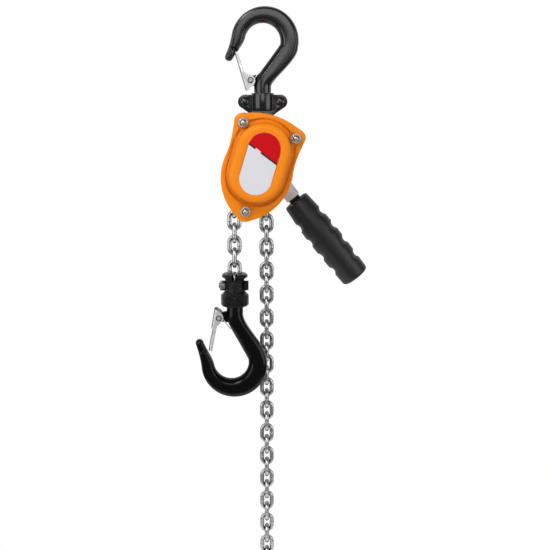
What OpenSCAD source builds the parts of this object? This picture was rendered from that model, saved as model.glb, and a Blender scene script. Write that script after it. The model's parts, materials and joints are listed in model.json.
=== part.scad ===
// Lever chain hoist with a half tonne frame, all sizes in millimetres.
// X points right, Y points back and Z points up, seen from the gear cover.
// The origin is the centre of the top hook's bowl and the load chain runs in the plane Y = 0.
// The frame hangs from the suspension pin and leans by body_tilt, as it does with a bare hook.

/* [Load chain] */
// Wire diameter of the load chain
chain_wire = 4; // [3.8:0.1:4.2]
// Pitch of the load chain
chain_pitch = 12; // [11.8:0.1:12.2]
// Outside width of one link
chain_width = 13.6; // [13.2:0.1:14]
// Slack between the crowns of two links
chain_play = 0.3; // [0.2:0.05:0.5]
// Links in the loaded fall, with the one held by the bottom yoke
fall_links = 7; // [5:2:15]
// Links in the free tail
tail_links = 32; // [26:1:44]
// How far the free tail hangs behind the bottom hook
tail_back = 15; // [12:1:20]

/* [Frame] */
// Lean of the hanging frame
body_tilt = 16.8; // [12:0.2:20]
// Drop from the top hook's bowl to the suspension pin
pin_drop = 73.8; // [70:0.2:80]
// Suspension pin, left of the main shaft
pin_left = 8.4; // [6:0.2:11]
// Suspension pin, above the main shaft
pin_up = 35.8; // [34:0.2:38]
// Diameter of the suspension pin
pin_d = 8; // [6:0.5:9]
// Free width between the side plates
plate_gap = 24; // [23:0.5:27]
// Thickness of a side plate
plate_t = 4; // [3:0.5:5]
// Half width of the covers
cover_half_w = 33.3; // [32:0.1:35]
// Radius of the long side arcs of the covers
side_arc_r = 52; // [46:1:58]
// Radius of the arc along the top of the covers
top_arc_r = 66; // [58:1:80]
// Radius of the hollow waist in the sides of the covers
waist_r = 100; // [80:5:140]
// Depth of the hollow waist
waist_depth = 1.8; // [0.5:0.1:2.5]
// Radius of the lobe round the bottom stay
low_lobe_r = 10; // [9:0.5:11]
// Top stays, left and right of the shaft
stay_side = 25.5; // [24:0.1:27]
// Top stays, above the shaft
stay_up = 30.7; // [29:0.1:32]
// Bottom stay, below the shaft
stay_down = 48.2; // [47:0.1:50]
// Diameter of a stay stud
stay_d = 5; // [4:0.5:5]
// Outside diameter of a stay spacer
spacer_d = 6.6; // [6:0.2:7]
// Width of a stay nut across its flats
nut_flats = 7; // [6.5:0.5:8]
// Diameter of a stay washer
washer_d = 9.4; // [9:0.2:11]

/* [Covers] */
// Thickness of the cover sheet
cover_t = 2; // [1.5:0.25:2.5]
// Half the straight length of the raised oval
oval_half = 12; // [11:0.5:13]
// Radius of the raised oval at its foot
oval_foot_r = 28.5; // [27.5:0.5:29]
// Radius of the raised oval at its top
oval_top_r = 25; // [24.8:0.1:26]
// Height of the gear cover's oval above the flange
gear_oval_h = 16; // [15:0.5:19]
// Height of the brake cover's oval above the flange
brake_oval_h = 13.5; // [13:0.5:15]
// Radius of the rating plate's round ends
label_r = 15; // [12:0.5:17]
// Half the straight length of the rating plate
label_half = 14.3; // [11:0.1:15]

/* [Gears] */
// Gear module
gear_m = 1; // [0.95:0.01:1]
// Teeth on each pinion
pinion_teeth = 10; // [10:2:12]
// Teeth on each wheel
wheel_teeth = 28; // [24:2:28]
// Face width of a gear
gear_w = 5; // [4:0.25:5]
// Diameter of the drive shaft
shaft_d = 8; // [6:0.5:8]
// Diameter of the counter gears' journals
journal_d = 6; // [5:0.5:7]
// Clearance of a running fit, on the radius
fit = 0.05; // [0.02:0.01:0.1]

/* [Hooks] */
// Width of a hook's shank
shank_d = 16; // [14:0.5:17]
// Diameter of a hook's swivel neck
neck_d = 9; // [8:0.5:10]
// Diameter of a hook's swivel collar
collar_d = 15; // [13:0.5:15.5]
// Height of a hook's swivel collar
collar_h = 5; // [4:0.25:5.5]
// Half thickness of a hook at its bowl
hook_depth = 7.2; // [6:0.1:7.5]
// Thickness of the latch sheet
latch_t = 1; // [0.8:0.1:1.2]
// Diameter of a latch rivet
latch_rivet_d = 3; // [2.5:0.25:3.5]

/* [Lever] */
// Direction of the lever, below the horizontal
lever_drop = 51.6; // [30:1:80]
// Near end of the grip, from the shaft
grip_start = 55.4; // [54:0.2:64]
// Length of the grip
grip_len = 98; // [80:1:120]
// Width of the grip at its near end
grip_near_w = 26; // [22:0.1:27]
// Width of the grip at its middle
grip_mid_w = 31.2; // [27:0.1:32]
// Width of the grip at its far end
grip_far_w = 28.9; // [25:0.1:30]
// Depth of the finger scallops
scallop_depth = 1.5; // [0:0.1:2.5]
// Radius of the lever housing
lever_head_r = 23; // [22:0.5:26]
// Depth of the lever housing from front to back
lever_depth = 18; // [17:0.5:20]
// Diameter of the hand wheel
hand_wheel_d = 46; // [40:1:48]
// Width of the hand wheel
hand_wheel_w = 11; // [9:0.5:14]

/* [Hidden] */
$fn = 48;
tiny = 0.01;
loose = 0.3;
gap = 0.2;
zinc = "silver";
black = "#1c1c1e";
orange = "#f58a1c";
steel = "#8f9296";

// Places in the picture plane, as [x, z]

// A point of the leaning frame, measured from the main shaft, as a point of the whole hoist
function lean(p) = [p[0] * cos(body_tilt) + p[1] * sin(body_tilt),
                    -p[0] * sin(body_tilt) + p[1] * cos(body_tilt)];
function polar(r, a) = [r * cos(a), r * sin(a)];
function flat(p, y = 0) = [p[0], y, p[1]];
function mid(a, b, t) = a + (b - a) * t;

suspension = [-pin_left, pin_up];
shaft = [0, -pin_drop] - lean(suspension);
stays = [[-stay_side, stay_up], [stay_side, stay_up], [0, -stay_down]];
corner_r = cover_half_w - stay_side;
counter_reach = gear_m * (pinion_teeth + wheel_teeth) / 2;
counters = [[0, counter_reach], [0, -counter_reach]];

// Depths, from the front of the gear cover to the hand wheel
gear_plate_y = -plate_gap / 2 - plate_t;
brake_plate_y = plate_gap / 2;
brake_face_y = brake_plate_y + plate_t;
cover_face_y = gear_plate_y - cover_t;
oval_face_y = cover_face_y - gear_oval_h;
oval_inner_y = oval_face_y + cover_t;
gear_gap = 1;
slow_gear_y = gear_plate_y - gear_gap - gear_w;
fast_gear_y = slow_gear_y - gear_gap - gear_w;
hub_y = brake_face_y + 1.2;
hub_flange_t = 2.5;
lining_t = 1.5;
ratchet_t = 3;
inner_lining_y = hub_y + hub_flange_t;
ratchet_y = inner_lining_y + lining_t + gap;
outer_lining_y = ratchet_y + ratchet_t + gap;
change_y = outer_lining_y + lining_t;
brake_oval_y = brake_face_y + cover_t + brake_oval_h;
lever_y = brake_oval_y + 2;
lever_end_y = lever_y + lever_depth;
lever_mid_y = lever_y + lever_depth / 2;
sleeve_end_y = lever_y + 5;
wheel_y = lever_end_y + 1.5;
wheel_end_y = wheel_y + hand_wheel_w;

// Shared shapes

// Seats its children in the leaning frame, with the main shaft at the origin
module in_frame() { translate(flat(shaft)) rotate([0, body_tilt, 0]) children(); }

// Seats its children on the lever, with X running out along it
module in_lever() { translate(flat(shaft)) rotate([0, lever_drop, 0]) children(); }

// Stands a drawing of [x, z] up and gives it a thickness along Y
module sheet(y, t) { translate([0, y + t, 0]) rotate([90, 0, 0]) linear_extrude(t) children(); }

// Turns a drawing of [radius, y] about the Y axis
module turned() { rotate([-90, 0, 0]) rotate_extrude() children(); }

// A round bar along Y at [x, z]
module bar(p, d, y0, y1, sides = 48) {
    translate([p[0], y0, p[1]]) rotate([-90, 0, 0]) cylinder(d = d, h = y1 - y0, $fn = sides);
}

// A ring along Y at [x, z]
module ring(p, d, bore, y0, y1) {
    difference() {
        bar(p, d, y0, y1);
        bar(p, bore, y0 - 1, y1 + 1);
    }
}

// A drawing of a slot with round ends, its straight sides along Z
module slot2d(r, half) {
    square([2 * r, 2 * half], center = true);
    for (s = [-1, 1]) translate([0, s * half]) circle(r);
}

// Outline of the frame, drawn in by inset
module frame_outline(inset = 0) {
    half = cover_half_w - inset;
    difference() {
        union() {
            intersection() {
                for_sides(side_arc_r - cover_half_w) circle(side_arc_r - inset, $fn = 96);
                translate([-half, -stay_down - 2 * low_lobe_r])
                    square([2 * half, stay_down + 2 * low_lobe_r]);
            }
            translate([0, -stay_down]) circle(low_lobe_r - inset);
            translate([-half, -tiny]) square([2 * half, stay_up + tiny]);
            for (s = [-1, 1]) translate([s * stay_side, stay_up]) circle(corner_r - inset);
            intersection() {
                translate([0, stay_up + corner_r - sqrt(top_arc_r ^ 2 - stay_side ^ 2)])
                    circle(top_arc_r - inset, $fn = 96);
                translate([-stay_side, 0]) square([2 * stay_side, top_arc_r]);
            }
        }
        for (s = [-1, 1])
            translate([s * (cover_half_w - waist_depth + waist_r), waist_height])
                circle(waist_r + inset, $fn = 96);
    }
}
waist_height = 13;

// Where two discs overlap, one shifted to each side
module for_sides(shift) {
    intersection() {
        translate([-shift, -side_arc_drop]) children();
        translate([shift, -side_arc_drop]) children();
    }
}
side_arc_drop = 10;

// Half of the raised oval's section as [radius, height], rounded at its foot and its top
function oval_section(foot, top, h, round_r) = concat(
    [[0, 0], [foot, 0]],
    [for (a = [75:-15:0]) [foot - (foot - top) * cos(a), (foot - top) * (1 - sin(a))]],
    [for (a = [0:18:90]) [top - round_r + round_r * cos(a), h - round_r + round_r * sin(a)]],
    [[0, h]]
);

// The raised oval, standing on the XZ plane and rising along +Y
module oval(foot, top, h, round_r) {
    half_section = oval_section(foot, top, h, round_r);
    for (s = [-1, 1]) translate([0, 0, s * oval_half]) turned() polygon(half_section);
    translate([0, 0, -oval_half]) linear_extrude(2 * oval_half)
        polygon(concat(half_section, [for (i = [len(half_section) - 1:-1:1])
                                      [-half_section[i][0], half_section[i][1]]]));
}

// Pressed cover: flange, hollow oval and stay holes, rising along +Y from its seat at Y = 0
module pressed_cover(oval_h) {
    difference() {
        union() {
            sheet(0, cover_t) frame_outline();
            translate([0, cover_t, 0]) oval(oval_foot_r, oval_top_r, oval_h, 4);
        }
        translate([0, -tiny, 0]) oval(oval_foot_r - cover_t, oval_top_r - cover_t, oval_h + tiny, 3);
        for (p = stays) {
            bar(p, stay_d + 2 * fit, -1, cover_t + 1);
            bar(p, washer_d + 2 * gap, cover_t, cover_t + oval_h);
        }
    }
}

// Side plate with its stay holes, pin hole and bush seat
module side_plate(y) {
    difference() {
        sheet(y, plate_t) frame_outline(0.8);
        for (p = stays) bar(p, stay_d + 2 * fit, y - 1, y + plate_t + 1);
        bar(suspension, pin_d + 2 * fit, y - 1, y + plate_t + 1);
        bar([0, 0], bush_d + 2 * fit, y - 1, y + plate_t + 1);
    }
}
bush_d = 24;

// Chain

bend_r = (chain_width - chain_wire) / 2;
crown = (chain_pitch + chain_play) / 2;
straight_half = crown - bend_r + chain_wire / 2;

// The chain bends where a lying link's crown sits in a standing link's crown
stand_half = (straight_half + chain_pitch - crown - chain_wire / 2) / 2;
lie_half = chain_pitch - stand_half;
sheave_pockets = 4;
turn_step = 180 / sheave_pockets;
pocket_radius = (stand_half + lie_half * cos(turn_step)) / sin(turn_step);
stand_radius = (lie_half + stand_half * cos(turn_step)) / sin(turn_step);
sheave_phase = 13;

// One link in the XZ plane, its length along Z
module link() {
    for (s = [0, 1]) rotate([0, 180 * s, 0]) {
        translate([0, 0, straight_half]) rotate([90, 0, 0])
            rotate_extrude(angle = 180) translate([bend_r, 0]) circle(d = chain_wire, $fn = 16);
        translate([bend_r, 0, -straight_half]) cylinder(d = chain_wire, h = 2 * straight_half, $fn = 16);
    }
}

// Links strung along a list of points, each turned a quarter from the last
module chain(points, first_turn) {
    for (i = [0:len(points) - 2]) {
        along = points[i] - points[i + 1];
        translate(mid(points[i], points[i + 1], 0.5))
            rotate([-asin(along[1] / norm(along)), atan2(along[0], along[2]), 0])
                rotate([0, 0, first_turn + 90 * i]) link();
    }
}

// Bends of the chain on the sheave, from the fall's side to the tail's side
function pocket_bend(k, s) = let (a = sheave_phase + 180 - 2 * turn_step * k)
    shaft + lean(polar(pocket_radius, a) + s * polar(lie_half, a + 90));
bends = [for (k = [0:2], s = [1, -1]) pocket_bend(k, s)];
run_half = lie_half + 2 * stand_half;
run_shares = [0, stand_half / run_half, (stand_half + lie_half) / run_half];

// The runs inside the frame: three links down to where the chain hangs plumb
run_length = 2 * run_half;
tail_slack = 0.4;
fall_x = shaft[0] - 25.1;
tail_x = shaft[0] + 5.6;
fall_kink = [fall_x, bends[0][1] - sqrt(run_length ^ 2 - (fall_x - bends[0][0]) ^ 2)];
tail_kink = [tail_x, bends[5][1] - sqrt((run_length - tail_slack) ^ 2 - (tail_x - bends[5][0]) ^ 2)];
wrap_points = [for (p = concat(
    [for (t = run_shares) mid(fall_kink, bends[0], t)],
    bends,
    [for (t = [2, 1, 0]) mid(tail_kink, bends[5], run_shares[t])])) flat(p)];
hang_offset = lie_half - chain_pitch / 2;
fall_start = flat(fall_kink - [0, hang_offset]);
tail_start = flat(tail_kink - [0, hang_offset]);
fall_points = [for (i = [0:fall_links]) fall_start - [0, 0, chain_pitch * i]];
lean_links = 12;
lean_rise = sqrt((lean_links * chain_pitch) ^ 2 - tail_back ^ 2) / lean_links;
function along_tail(i) = tail_start + [0, tail_back * min(max(i - 1, 0), lean_links) / lean_links,
    -chain_pitch * min(i, 1) - lean_rise * min(max(i - 1, 0), lean_links)
    - chain_pitch * max(i - 1 - lean_links, 0)];
tail_points = [for (i = [0:tail_links]) along_tail(i)];
last_link_z = fall_start[2] - chain_pitch * (fall_links - 0.5);

// Meshes

// Triangles that join rings of n points and close both ends
function strip_faces(rings, n) = [for (i = [0:rings - 2], j = [0:n - 1], h = [0, 1])
    let (a = i * n + j, b = i * n + (j + 1) % n)
    h == 0 ? [a, b, b + n] : [a, b + n, a + n]];
function end_faces(rings, n) = [
    [for (j = [n - 1:-1:0]) j],
    [for (j = [0:n - 1]) (rings - 1) * n + j]];

// A round wire through a list of points; up is never along the wire
module wire(points, d, up, sides = 6) {
    count = len(points);
    rings = [for (i = [0:count - 1])
        let (t = points[min(i + 1, count - 1)] - points[max(i - 1, 0)],
             a = cross(up, t) / norm(cross(up, t)),
             b = cross(a, t) / norm(cross(a, t)))
        for (j = [0:sides - 1]) points[i] + d / 2 * (a * cos(360 / sides * j) + b * sin(360 / sides * j))];
    polyhedron(rings, concat(strip_faces(count, sides), end_faces(count, sides)));
}

// Hooks, drawn with the bowl's centre at the origin and the shank pointing down

function bezier(p, t) = p[0] * (1 - t) ^ 3 + 3 * p[1] * t * (1 - t) ^ 2 + 3 * p[2] * t ^ 2 * (1 - t)
    + p[3] * t ^ 3;

// Where a ray from the bowl's centre meets the outer circle
function reach(c, r, a) = let (d = c[0] * cos(a) + c[1] * sin(a)) d + sqrt(d ^ 2 - c * c + r ^ 2);

// A section of the hook: inner edge, outer edge, half thickness and share of the forged outline.
// The outline has flat faces and a bevelled inner edge, and is a circle where that share is 0
hook_half = [[1, 0.25], [0.92, 0.66], [0.6, 1], [0.05, 1], [-0.5, 1], [-0.76, 0.68], [-1, 0.34]];
hook_outline = concat(hook_half, [for (i = [len(hook_half) - 1:-1:0]) [hook_half[i][0], -hook_half[i][1]]]);
hook_sides = len(hook_outline);
function hook_ring(s) = [for (q = hook_outline)
    let (m = mid(s[0], s[1], 0.5), w = (s[1] - s[0]) / 2, e = mid(q / norm(q), q, s[3]))
    flat(m + w * e[0], -s[2] * e[1])];

// Form of a hook: bowl radius, outer reach to the right, left and far side, shank's place and foot,
// guide points of the stem's inner and outer edges, tip centre, tip radius, latch pivot and latch.
// Latch: lean, distance of its web, low and high edge of its tongue, end of the cheeks and reach
top_form = [16.5, 33.5, 29.2, 31.9, -0.1, -47, [[-3, -30], [-8.1, -33]], [[33, -17], [9.5, -34]],
            [-31.3, -14.3], 3.8, [-11.2, -35.3], [106.5, 7.2, 3.9, 7.2, 8.7, 28.5]];
bottom_form = [17, 35.3, 29.3, 35.2, 3.9, -56.2, [[0.5, -34.5], [-4.8, -38]], [[31.4, -19.8], [9.8, -38.6]],
               [-31.1, -19], 3.9, [-11.5, -44.9], [99.5, 5.9, 1.3, 5, 11.5, 34]];
stem_angle = -10;
lug_t = 5;
spring_room = 2.6;
neck_length = 6;

lip_angle = 168;
function outer_radius(f) = (f[1] + f[2]) / 2;
function outer_centre(f) = [(f[1] - f[2]) / 2, f[3] - outer_radius(f)];

// Inner and outer edge of the stem, from the shank up to the bowl
function stem_edges(f) = let (shank_r = shank_d / 2, neck = f[5] + neck_length)
    [[[f[4] - shank_r, neck], f[6][1], f[6][0], polar(f[0], stem_angle)],
     [[f[4] + shank_r, neck], f[7][1], f[7][0],
      polar(reach(outer_centre(f), outer_radius(f), stem_angle), stem_angle)]];

function hook_sections(f) =
    let (r = f[0], c = outer_centre(f), out = outer_radius(f), shank_r = shank_d / 2, sx = f[4],
         foot = f[5], stem = stem_edges(f), tip = f[8], tip_r = f[9], arm = tip_run(f))
    concat(
        [[[sx - shank_r, foot], [sx + shank_r, foot], shank_r, 0]],
        [for (t = [0:1 / 8:0.99])
            [bezier(stem[0], t), bezier(stem[1], t), mid(shank_r, hook_depth, t), t]],
        [for (a = [stem_angle:(lip_angle - stem_angle) / 16:lip_angle - 1])
            [polar(r, a), polar(reach(c, out, a), a), hook_depth, 1]],
        [for (t = [0:1 / 16:1]) arm_section(f, t)],
        [for (a = [30, 60, 84]) let (m = tip + arm[2] * tip_r * sin(a))
            [m - arm[3] * tip_r * cos(a), m + arm[3] * tip_r * cos(a), (tip_r + 1) * cos(a), tip_share]]
    );
tip_share = 0.45;

// A section of the arm. Past the reach of the latch it is thinner, and stands back to seat the tongue
seat_gap = 0.6;
seat_rise = 1.2;
function latch_sweep(f) = norm([f[11][5], f[11][3]]) + seat_rise;
function stand_back(f, p, way) = let (n = polar(1, f[11][0] + 90))
    max(0, (f[11][3] + seat_gap - (p - f[10]) * n) / (way * n));
function arm_section(f, t) =
    let (arm = tip_run(f), p = bezier(arm[0], t), q = bezier(arm[1], t), way = (q - p) / norm(q - p))
    norm(p - f[10]) > latch_sweep(f) ? [p, q, hook_depth, mid(1, tip_share, t)]
        : [p + way * stand_back(f, p, way), q, f[9] + 1, mid(1, tip_share, t)];

// Forged hook with its swivel neck, collar and latch lug
module forged_hook(f) {
    sections = hook_sections(f);
    pivot = f[10];
    foot = f[5];
    polyhedron([for (s = sections) each hook_ring(s)],
               concat(strip_faces(len(sections), hook_sides), end_faces(len(sections), hook_sides)));
    translate([f[4], 0, foot - swivel_wall]) cylinder(d = neck_d, h = swivel_wall + 1);
    translate([f[4], 0, foot - swivel_wall - collar_h]) cylinder(d = collar_d, h = collar_h);
    difference() {
        sheet(-lug_t / 2, lug_t) {
            translate(pivot) circle(lug_r);
            polygon([pivot + [0, lug_r - tiny], pivot - [0, lug_r - tiny],
                     [f[4] - 2, pivot[1] - lug_r - 3], [f[4] - 1, pivot[1] + lug_r + 1]]);
        }
        bar(pivot, latch_rivet_d + 2 * fit, -lug_t, lug_t);
    }
}
swivel_wall = 4.2;
lug_r = 4.4;

// Inner and outer edge of the arm that carries the hook's tip, with its direction and side
function ahead(p) = [-p[1], p[0]] / norm(p);
function tip_run(f) = let (r = f[0], c = outer_centre(f), out = outer_radius(f),
    lip_in = polar(r, lip_angle), lip_out = polar(reach(c, out, lip_angle), lip_angle),
    run = f[8] - mid(lip_in, lip_out, 0.5), dir = run / norm(run), side = [dir[1], -dir[0]],
    far = norm(run) / 3)
    [[lip_in, lip_in + ahead(lip_in) * far, f[8] - side * f[9] - dir * far, f[8] - side * f[9]],
     [lip_out, lip_out + ahead(lip_out - c) * far, f[8] + side * f[9] - dir * far, f[8] + side * f[9]],
     dir, side];

// Folded latch: a web that rests inside the hook's tip, with two cheeks on the rivet
latch_half = lug_t / 2 + gap;
latch_outer = latch_half + spring_room + latch_t;
module sheet_latch(f) {
    web = f[11][1];
    low = f[11][2];
    high = f[11][3];
    cheek = f[11][4];
    end = f[11][5];
    translate(flat(f[10])) rotate([0, -f[11][0], 0]) difference() {
        sheet(-latch_outer, 2 * latch_outer)
            polygon([[-8, web], [-8.3, web - 3], [-3.6, -3.5], [0, -4.2], [2.8, -3.4],
                     [0.75 * cheek, low - 1], [cheek, low], [end, low], [end, high],
                     [cheek + 1.5, high], [cheek + 0.7, web]]);
        for (c = [[-end, cheek, web], [cheek - 1, end + 1, high]])
            translate([c[0], latch_t - latch_outer, -end])
                cube([c[1] - c[0], 2 * (latch_outer - latch_t), end + c[2] - latch_t]);
        bar([0, 0], latch_rivet_d + 2 * fit, -latch_outer - 1, latch_outer + 1);
    }
}

module latch_rivet(f) {
    pivot = f[10];
    head_y = latch_outer + 0.1;
    bar(pivot, latch_rivet_d, -head_y, head_y);
    for (s = [-1, 1]) scale([1, s, 1]) bar(pivot, latch_rivet_d + 2, head_y, head_y + 0.9);
}

// Torsion spring: turns beside the lug, one leg against the stem
spring_wire = 0.6;
spring_turns = 1.5;
spring_rise = 1.1;
spring_step = 30;
function spring_points(f) =
    let (turn_r = (latch_rivet_d + spring_wire) / 2 + 2 * gap, y0 = -(lug_t + spring_wire + gap) / 2,
         stem = bezier(stem_edges(f)[0], 0.5) + [-2 * gap, 2 * gap], wound = 360 * spring_turns,
         leg_a = atan2(stem[1] - f[10][1], stem[0] - f[10][0]) - 90)
    concat([for (a = [0:spring_step:wound])
               flat(f[10] + polar(turn_r, leg_a - wound + a), y0 - spring_rise * (wound - a) / 360)],
           [flat(stem, y0)]);
module latch_spring(f) { wire(spring_points(f), spring_wire, [0, 1, 0]); }

// Least gap between the turns of a wire, measured on points that lie more than a half turn apart
function self_gap(p, d, apart) =
    min([for (i = [0:len(p) - 1], j = [i + apart:1:len(p) - 1]) norm(p[i] - p[j])]) - d;
echo(spring_gap = min([for (f = [top_form, bottom_form])
    self_gap(spring_points(f), spring_wire, 180 / spring_step + 1)]));

// Bottom yoke and hook hang from the last link of the fall
cross_bolt_d = 5;
cross_bolt_hex = 10;
cross_bolt_z = last_link_z - crown + cross_bolt_d / 2 + chain_play / 2;
yoke_drop = 19.7;
yoke_foot = cross_bolt_z - yoke_drop;
bowl_place = [fall_x - bottom_form[4], yoke_foot - loose + bottom_form[5]];
module at_bottom_hook() { translate(flat(bowl_place)) mirror([0, 0, 1]) children(); }

module top_hook() color(black) forged_hook(top_form);
module top_latch() color(zinc) sheet_latch(top_form);
module top_latch_spring() color(zinc) latch_spring(top_form);
module top_latch_rivet() color(zinc) latch_rivet(top_form);
module bottom_hook() color(black) at_bottom_hook() forged_hook(bottom_form);
module bottom_latch() color(zinc) at_bottom_hook() sheet_latch(bottom_form);
module bottom_latch_spring() color(zinc) at_bottom_hook() latch_spring(bottom_form);
module bottom_latch_rivet() color(zinc) at_bottom_hook() latch_rivet(bottom_form);

// Top yoke: two forged halves round the hook's collar, riveted through their ears
ear_x = 16.7;
ear_z = -55.2;
ear_r = 6.4;
ear_half = 5;
barrel_r = 10.6;
yoke_top = top_form[5] - loose;
yoke_low = -62.7;
lug_half = plate_gap / 2 - 0.5;
pin_lug_r = pin_d / 2 + 4.5;
rivet_d = 5;

module yoke_half(side) {
    intersection() {
        difference() {
            union() {
                translate([0, 0, yoke_low]) cylinder(r = barrel_r, h = yoke_top - yoke_low);
                sheet(-ear_half, 2 * ear_half) {
                    for (s = [-1, 1]) translate([s * ear_x, ear_z]) circle(ear_r);
                    polygon([[-ear_x, ear_z + ear_r], [ear_x, ear_z + ear_r],
                             [ear_x + ear_r * 0.7, ear_z - ear_r * 0.7],
                             [pin_lug_r * 0.85, -pin_drop + pin_lug_r * 0.5],
                             [-pin_lug_r * 0.85, -pin_drop + pin_lug_r * 0.5],
                             [-ear_x - ear_r * 0.7, ear_z - ear_r * 0.7]]);
                }
                bar([0, -pin_drop], 2 * pin_lug_r, -lug_half, lug_half);
            }
            translate([top_form[4], 0, yoke_top - swivel_wall])
                cylinder(d = neck_d + 2 * fit, h = 2 * swivel_wall);
            translate([top_form[4], 0, top_form[5] - swivel_wall - collar_h - loose])
                cylinder(d = collar_d + 2 * loose, h = collar_h + loose);
            bar([0, -pin_drop], pin_d + 2 * fit, -plate_gap, plate_gap);
            for (s = [-1, 1]) bar([s * ear_x, ear_z], rivet_d + 2 * fit, -plate_gap, plate_gap);
        }
        translate([-2 * ear_x, side > 0 ? 0 : -plate_gap, -2 * pin_drop])
            cube([4 * ear_x, plate_gap, 2 * pin_drop]);
    }
}

module top_yoke_front() color(black) yoke_half(-1);
module top_yoke_rear() color(black) yoke_half(1);
module top_yoke_rivets() color(black) for (s = [-1, 1]) {
    bar([s * ear_x, ear_z], rivet_d, -ear_half, ear_half);
    for (e = [-1, 1]) scale([1, e, 1]) translate([s * ear_x, ear_half, ear_z])
        turned() polygon(concat([[0, 0]], [for (a = [0:15:90]) [4 * cos(a), 2 * sin(a)]]));
}

// Frame

module suspension_pin() color(steel) in_frame() bar(suspension, pin_d, gear_plate_y, brake_face_y);

module gear_side_plate() color(steel) in_frame() difference() {
    side_plate(gear_plate_y);
    for (p = counters) bar(p, journal_d + 2 * fit, gear_plate_y - 1, gear_plate_y + plate_t + 1);
}

module brake_side_plate() color(steel) in_frame() difference() {
    side_plate(brake_plate_y);
    for (p = pawl_pivots) bar(p, pawl_pin_d, brake_plate_y - 1, brake_face_y + 1);
}

module stay_studs() color("goldenrod") in_frame() for (p = stays) {
    bar(p, stay_d, cover_face_y - stud_end, brake_face_y + cover_t + stud_end);
}
washer_t = 1;
nut_h = 3.5;
stud_end = washer_t + nut_h + 0.8;

module stay_spacers() color(zinc) in_frame() for (p = stays) {
    ring(p, spacer_d, stay_d + 2 * fit, -plate_gap / 2, plate_gap / 2);
}

// Repeats its children at both ends of every stay, facing outwards
module at_stay_ends() {
    for (p = stays, s = [-1, 1])
        translate([p[0], s < 0 ? cover_face_y : brake_face_y + cover_t, p[1]]) scale([1, s, 1]) children();
}
module stay_washers() color(zinc) in_frame() at_stay_ends() {
    ring([0, 0], washer_d, stay_d + 2 * fit, 0, washer_t);
}
module stay_nuts() color(zinc) in_frame() at_stay_ends() difference() {
    bar([0, 0], nut_flats / cos(30), washer_t, washer_t + nut_h, 6);
    bar([0, 0], stay_d + 2 * fit, 0, stud_end);
}

module gear_cover() color(orange) in_frame() difference() {
    union() {
        translate([0, gear_plate_y, 0]) scale([1, -1, 1]) pressed_cover(gear_oval_h);
        for (p = concat(counters, [[0, 0]]))
            bar(p, journal_d + 5, oval_inner_y - tiny, fast_gear_y - gear_gap);
    }
    for (p = counters) bar(p, journal_d + 2 * fit, oval_inner_y, fast_gear_y);
    bar([0, 0], shaft_nose_d + 2 * fit, oval_inner_y, fast_gear_y);
    sheet(oval_face_y - 1, 1 + label_recess) slot2d(label_r + 2 * fit, label_half);
}
shaft_nose_d = 7;
label_recess = 0.6;
label_t = 0.8;

module rating_plate() color("white") in_frame() {
    sheet(oval_face_y + label_recess - label_t, label_t) slot2d(label_r, label_half);
}

// Plain bush that carries one end of the load sheave
module sheave_bush(y) { ring([0, 0], bush_d, sheave_journal_d + 2 * fit, y, y + plate_t); }
sheave_journal_d = 18;
module gear_side_bush() color("peru") in_frame() sheave_bush(gear_plate_y);
module brake_side_bush() color("peru") in_frame() sheave_bush(brake_plate_y);

// Stripper: a foot across the frame with a tongue in the sheave's groove
module chain_stripper() color(steel) in_frame() {
    translate([-4, -plate_gap / 2, -38]) cube([10, plate_gap, 8]);
    sheet(-1.6, 3.2) polygon([[-4, -38], [-4, -30], [-1.5, -9.8], [1, -groove_r - 0.6], [4, -9.8],
                              [6, -30], [6, -38]]);
}

// Guides: flanged posts outside the two runs of chain
guide_d = 8;
guide_left = 18.6;
guide_right = 20.8;
guide_places = [[-chain_width / 2 - guide_left, -14], [chain_width / 2 + guide_right, -14]];
module chain_guides() color(steel) in_frame() for (p = guide_places) {
    bar(p, guide_d - 2, -plate_gap / 2, plate_gap / 2);
    bar(p, guide_d, -6, 6);
}

module load_chain_wrap() color(zinc) chain(wrap_points, 0);
module load_chain_fall() color(zinc) chain(fall_points, 90);
module load_chain_tail() color(zinc) chain(tail_points, 90);

// Ring through the last link of the tail, too big to pass the frame
end_ring_r = 11;
end_ring_d = 5;
module tail_end_ring() color(zinc)
    translate(tail_points[tail_links] + [0, 0, end_ring_d / 2 - end_ring_r])
        rotate([90, 0, tail_links % 2 == 0 ? 90 : 0])
            rotate_extrude() translate([end_ring_r, 0]) circle(d = end_ring_d);

// Load sheave: pockets for the lying links and a groove for the standing ones
sheave_r = 17.8;
sheave_half = 9.2;
groove_half = chain_wire / 2 + 0.5;
groove_r = stand_radius - chain_width / 2 - 0.5;
gear_hub_d = 13;
module load_sheave() color(steel) in_frame() rotate([0, -sheave_phase, 0]) difference() {
    union() {
        turned() polygon([[0, -sheave_half], [sheave_r - 1.5, -sheave_half],
                          [sheave_r, -sheave_half + 1.5], [sheave_r, sheave_half - 1.5],
                          [sheave_r - 1.5, sheave_half], [0, sheave_half]]);
        bar([0, 0], sheave_journal_d, gear_plate_y, brake_face_y);
        bar([0, 0], gear_hub_d, slow_gear_y, 0);
    }
    turned() translate([groove_r, -groove_half]) square([sheave_r, 2 * groove_half]);
    for (k = [0:sheave_pockets - 1]) rotate([0, 2 * turn_step * k, 0])
        translate([0, 0, pocket_radius - chain_wire / 2 - loose]) linear_extrude(sheave_r) {
            square([2 * straight_half + 0.8, chain_width + 0.8], center = true);
            for (s = [-1, 1]) translate([s * straight_half, 0]) circle(d = chain_width + 0.8);
        }
    bar([0, 0], shaft_d + 2 * fit, slow_gear_y - 1, brake_face_y + 1);
}

// Involute gears

pressure = 25;
addendum = 0.8;
dedendum = 1.05;
backlash = 0.14;
flank_steps = 3;

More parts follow.
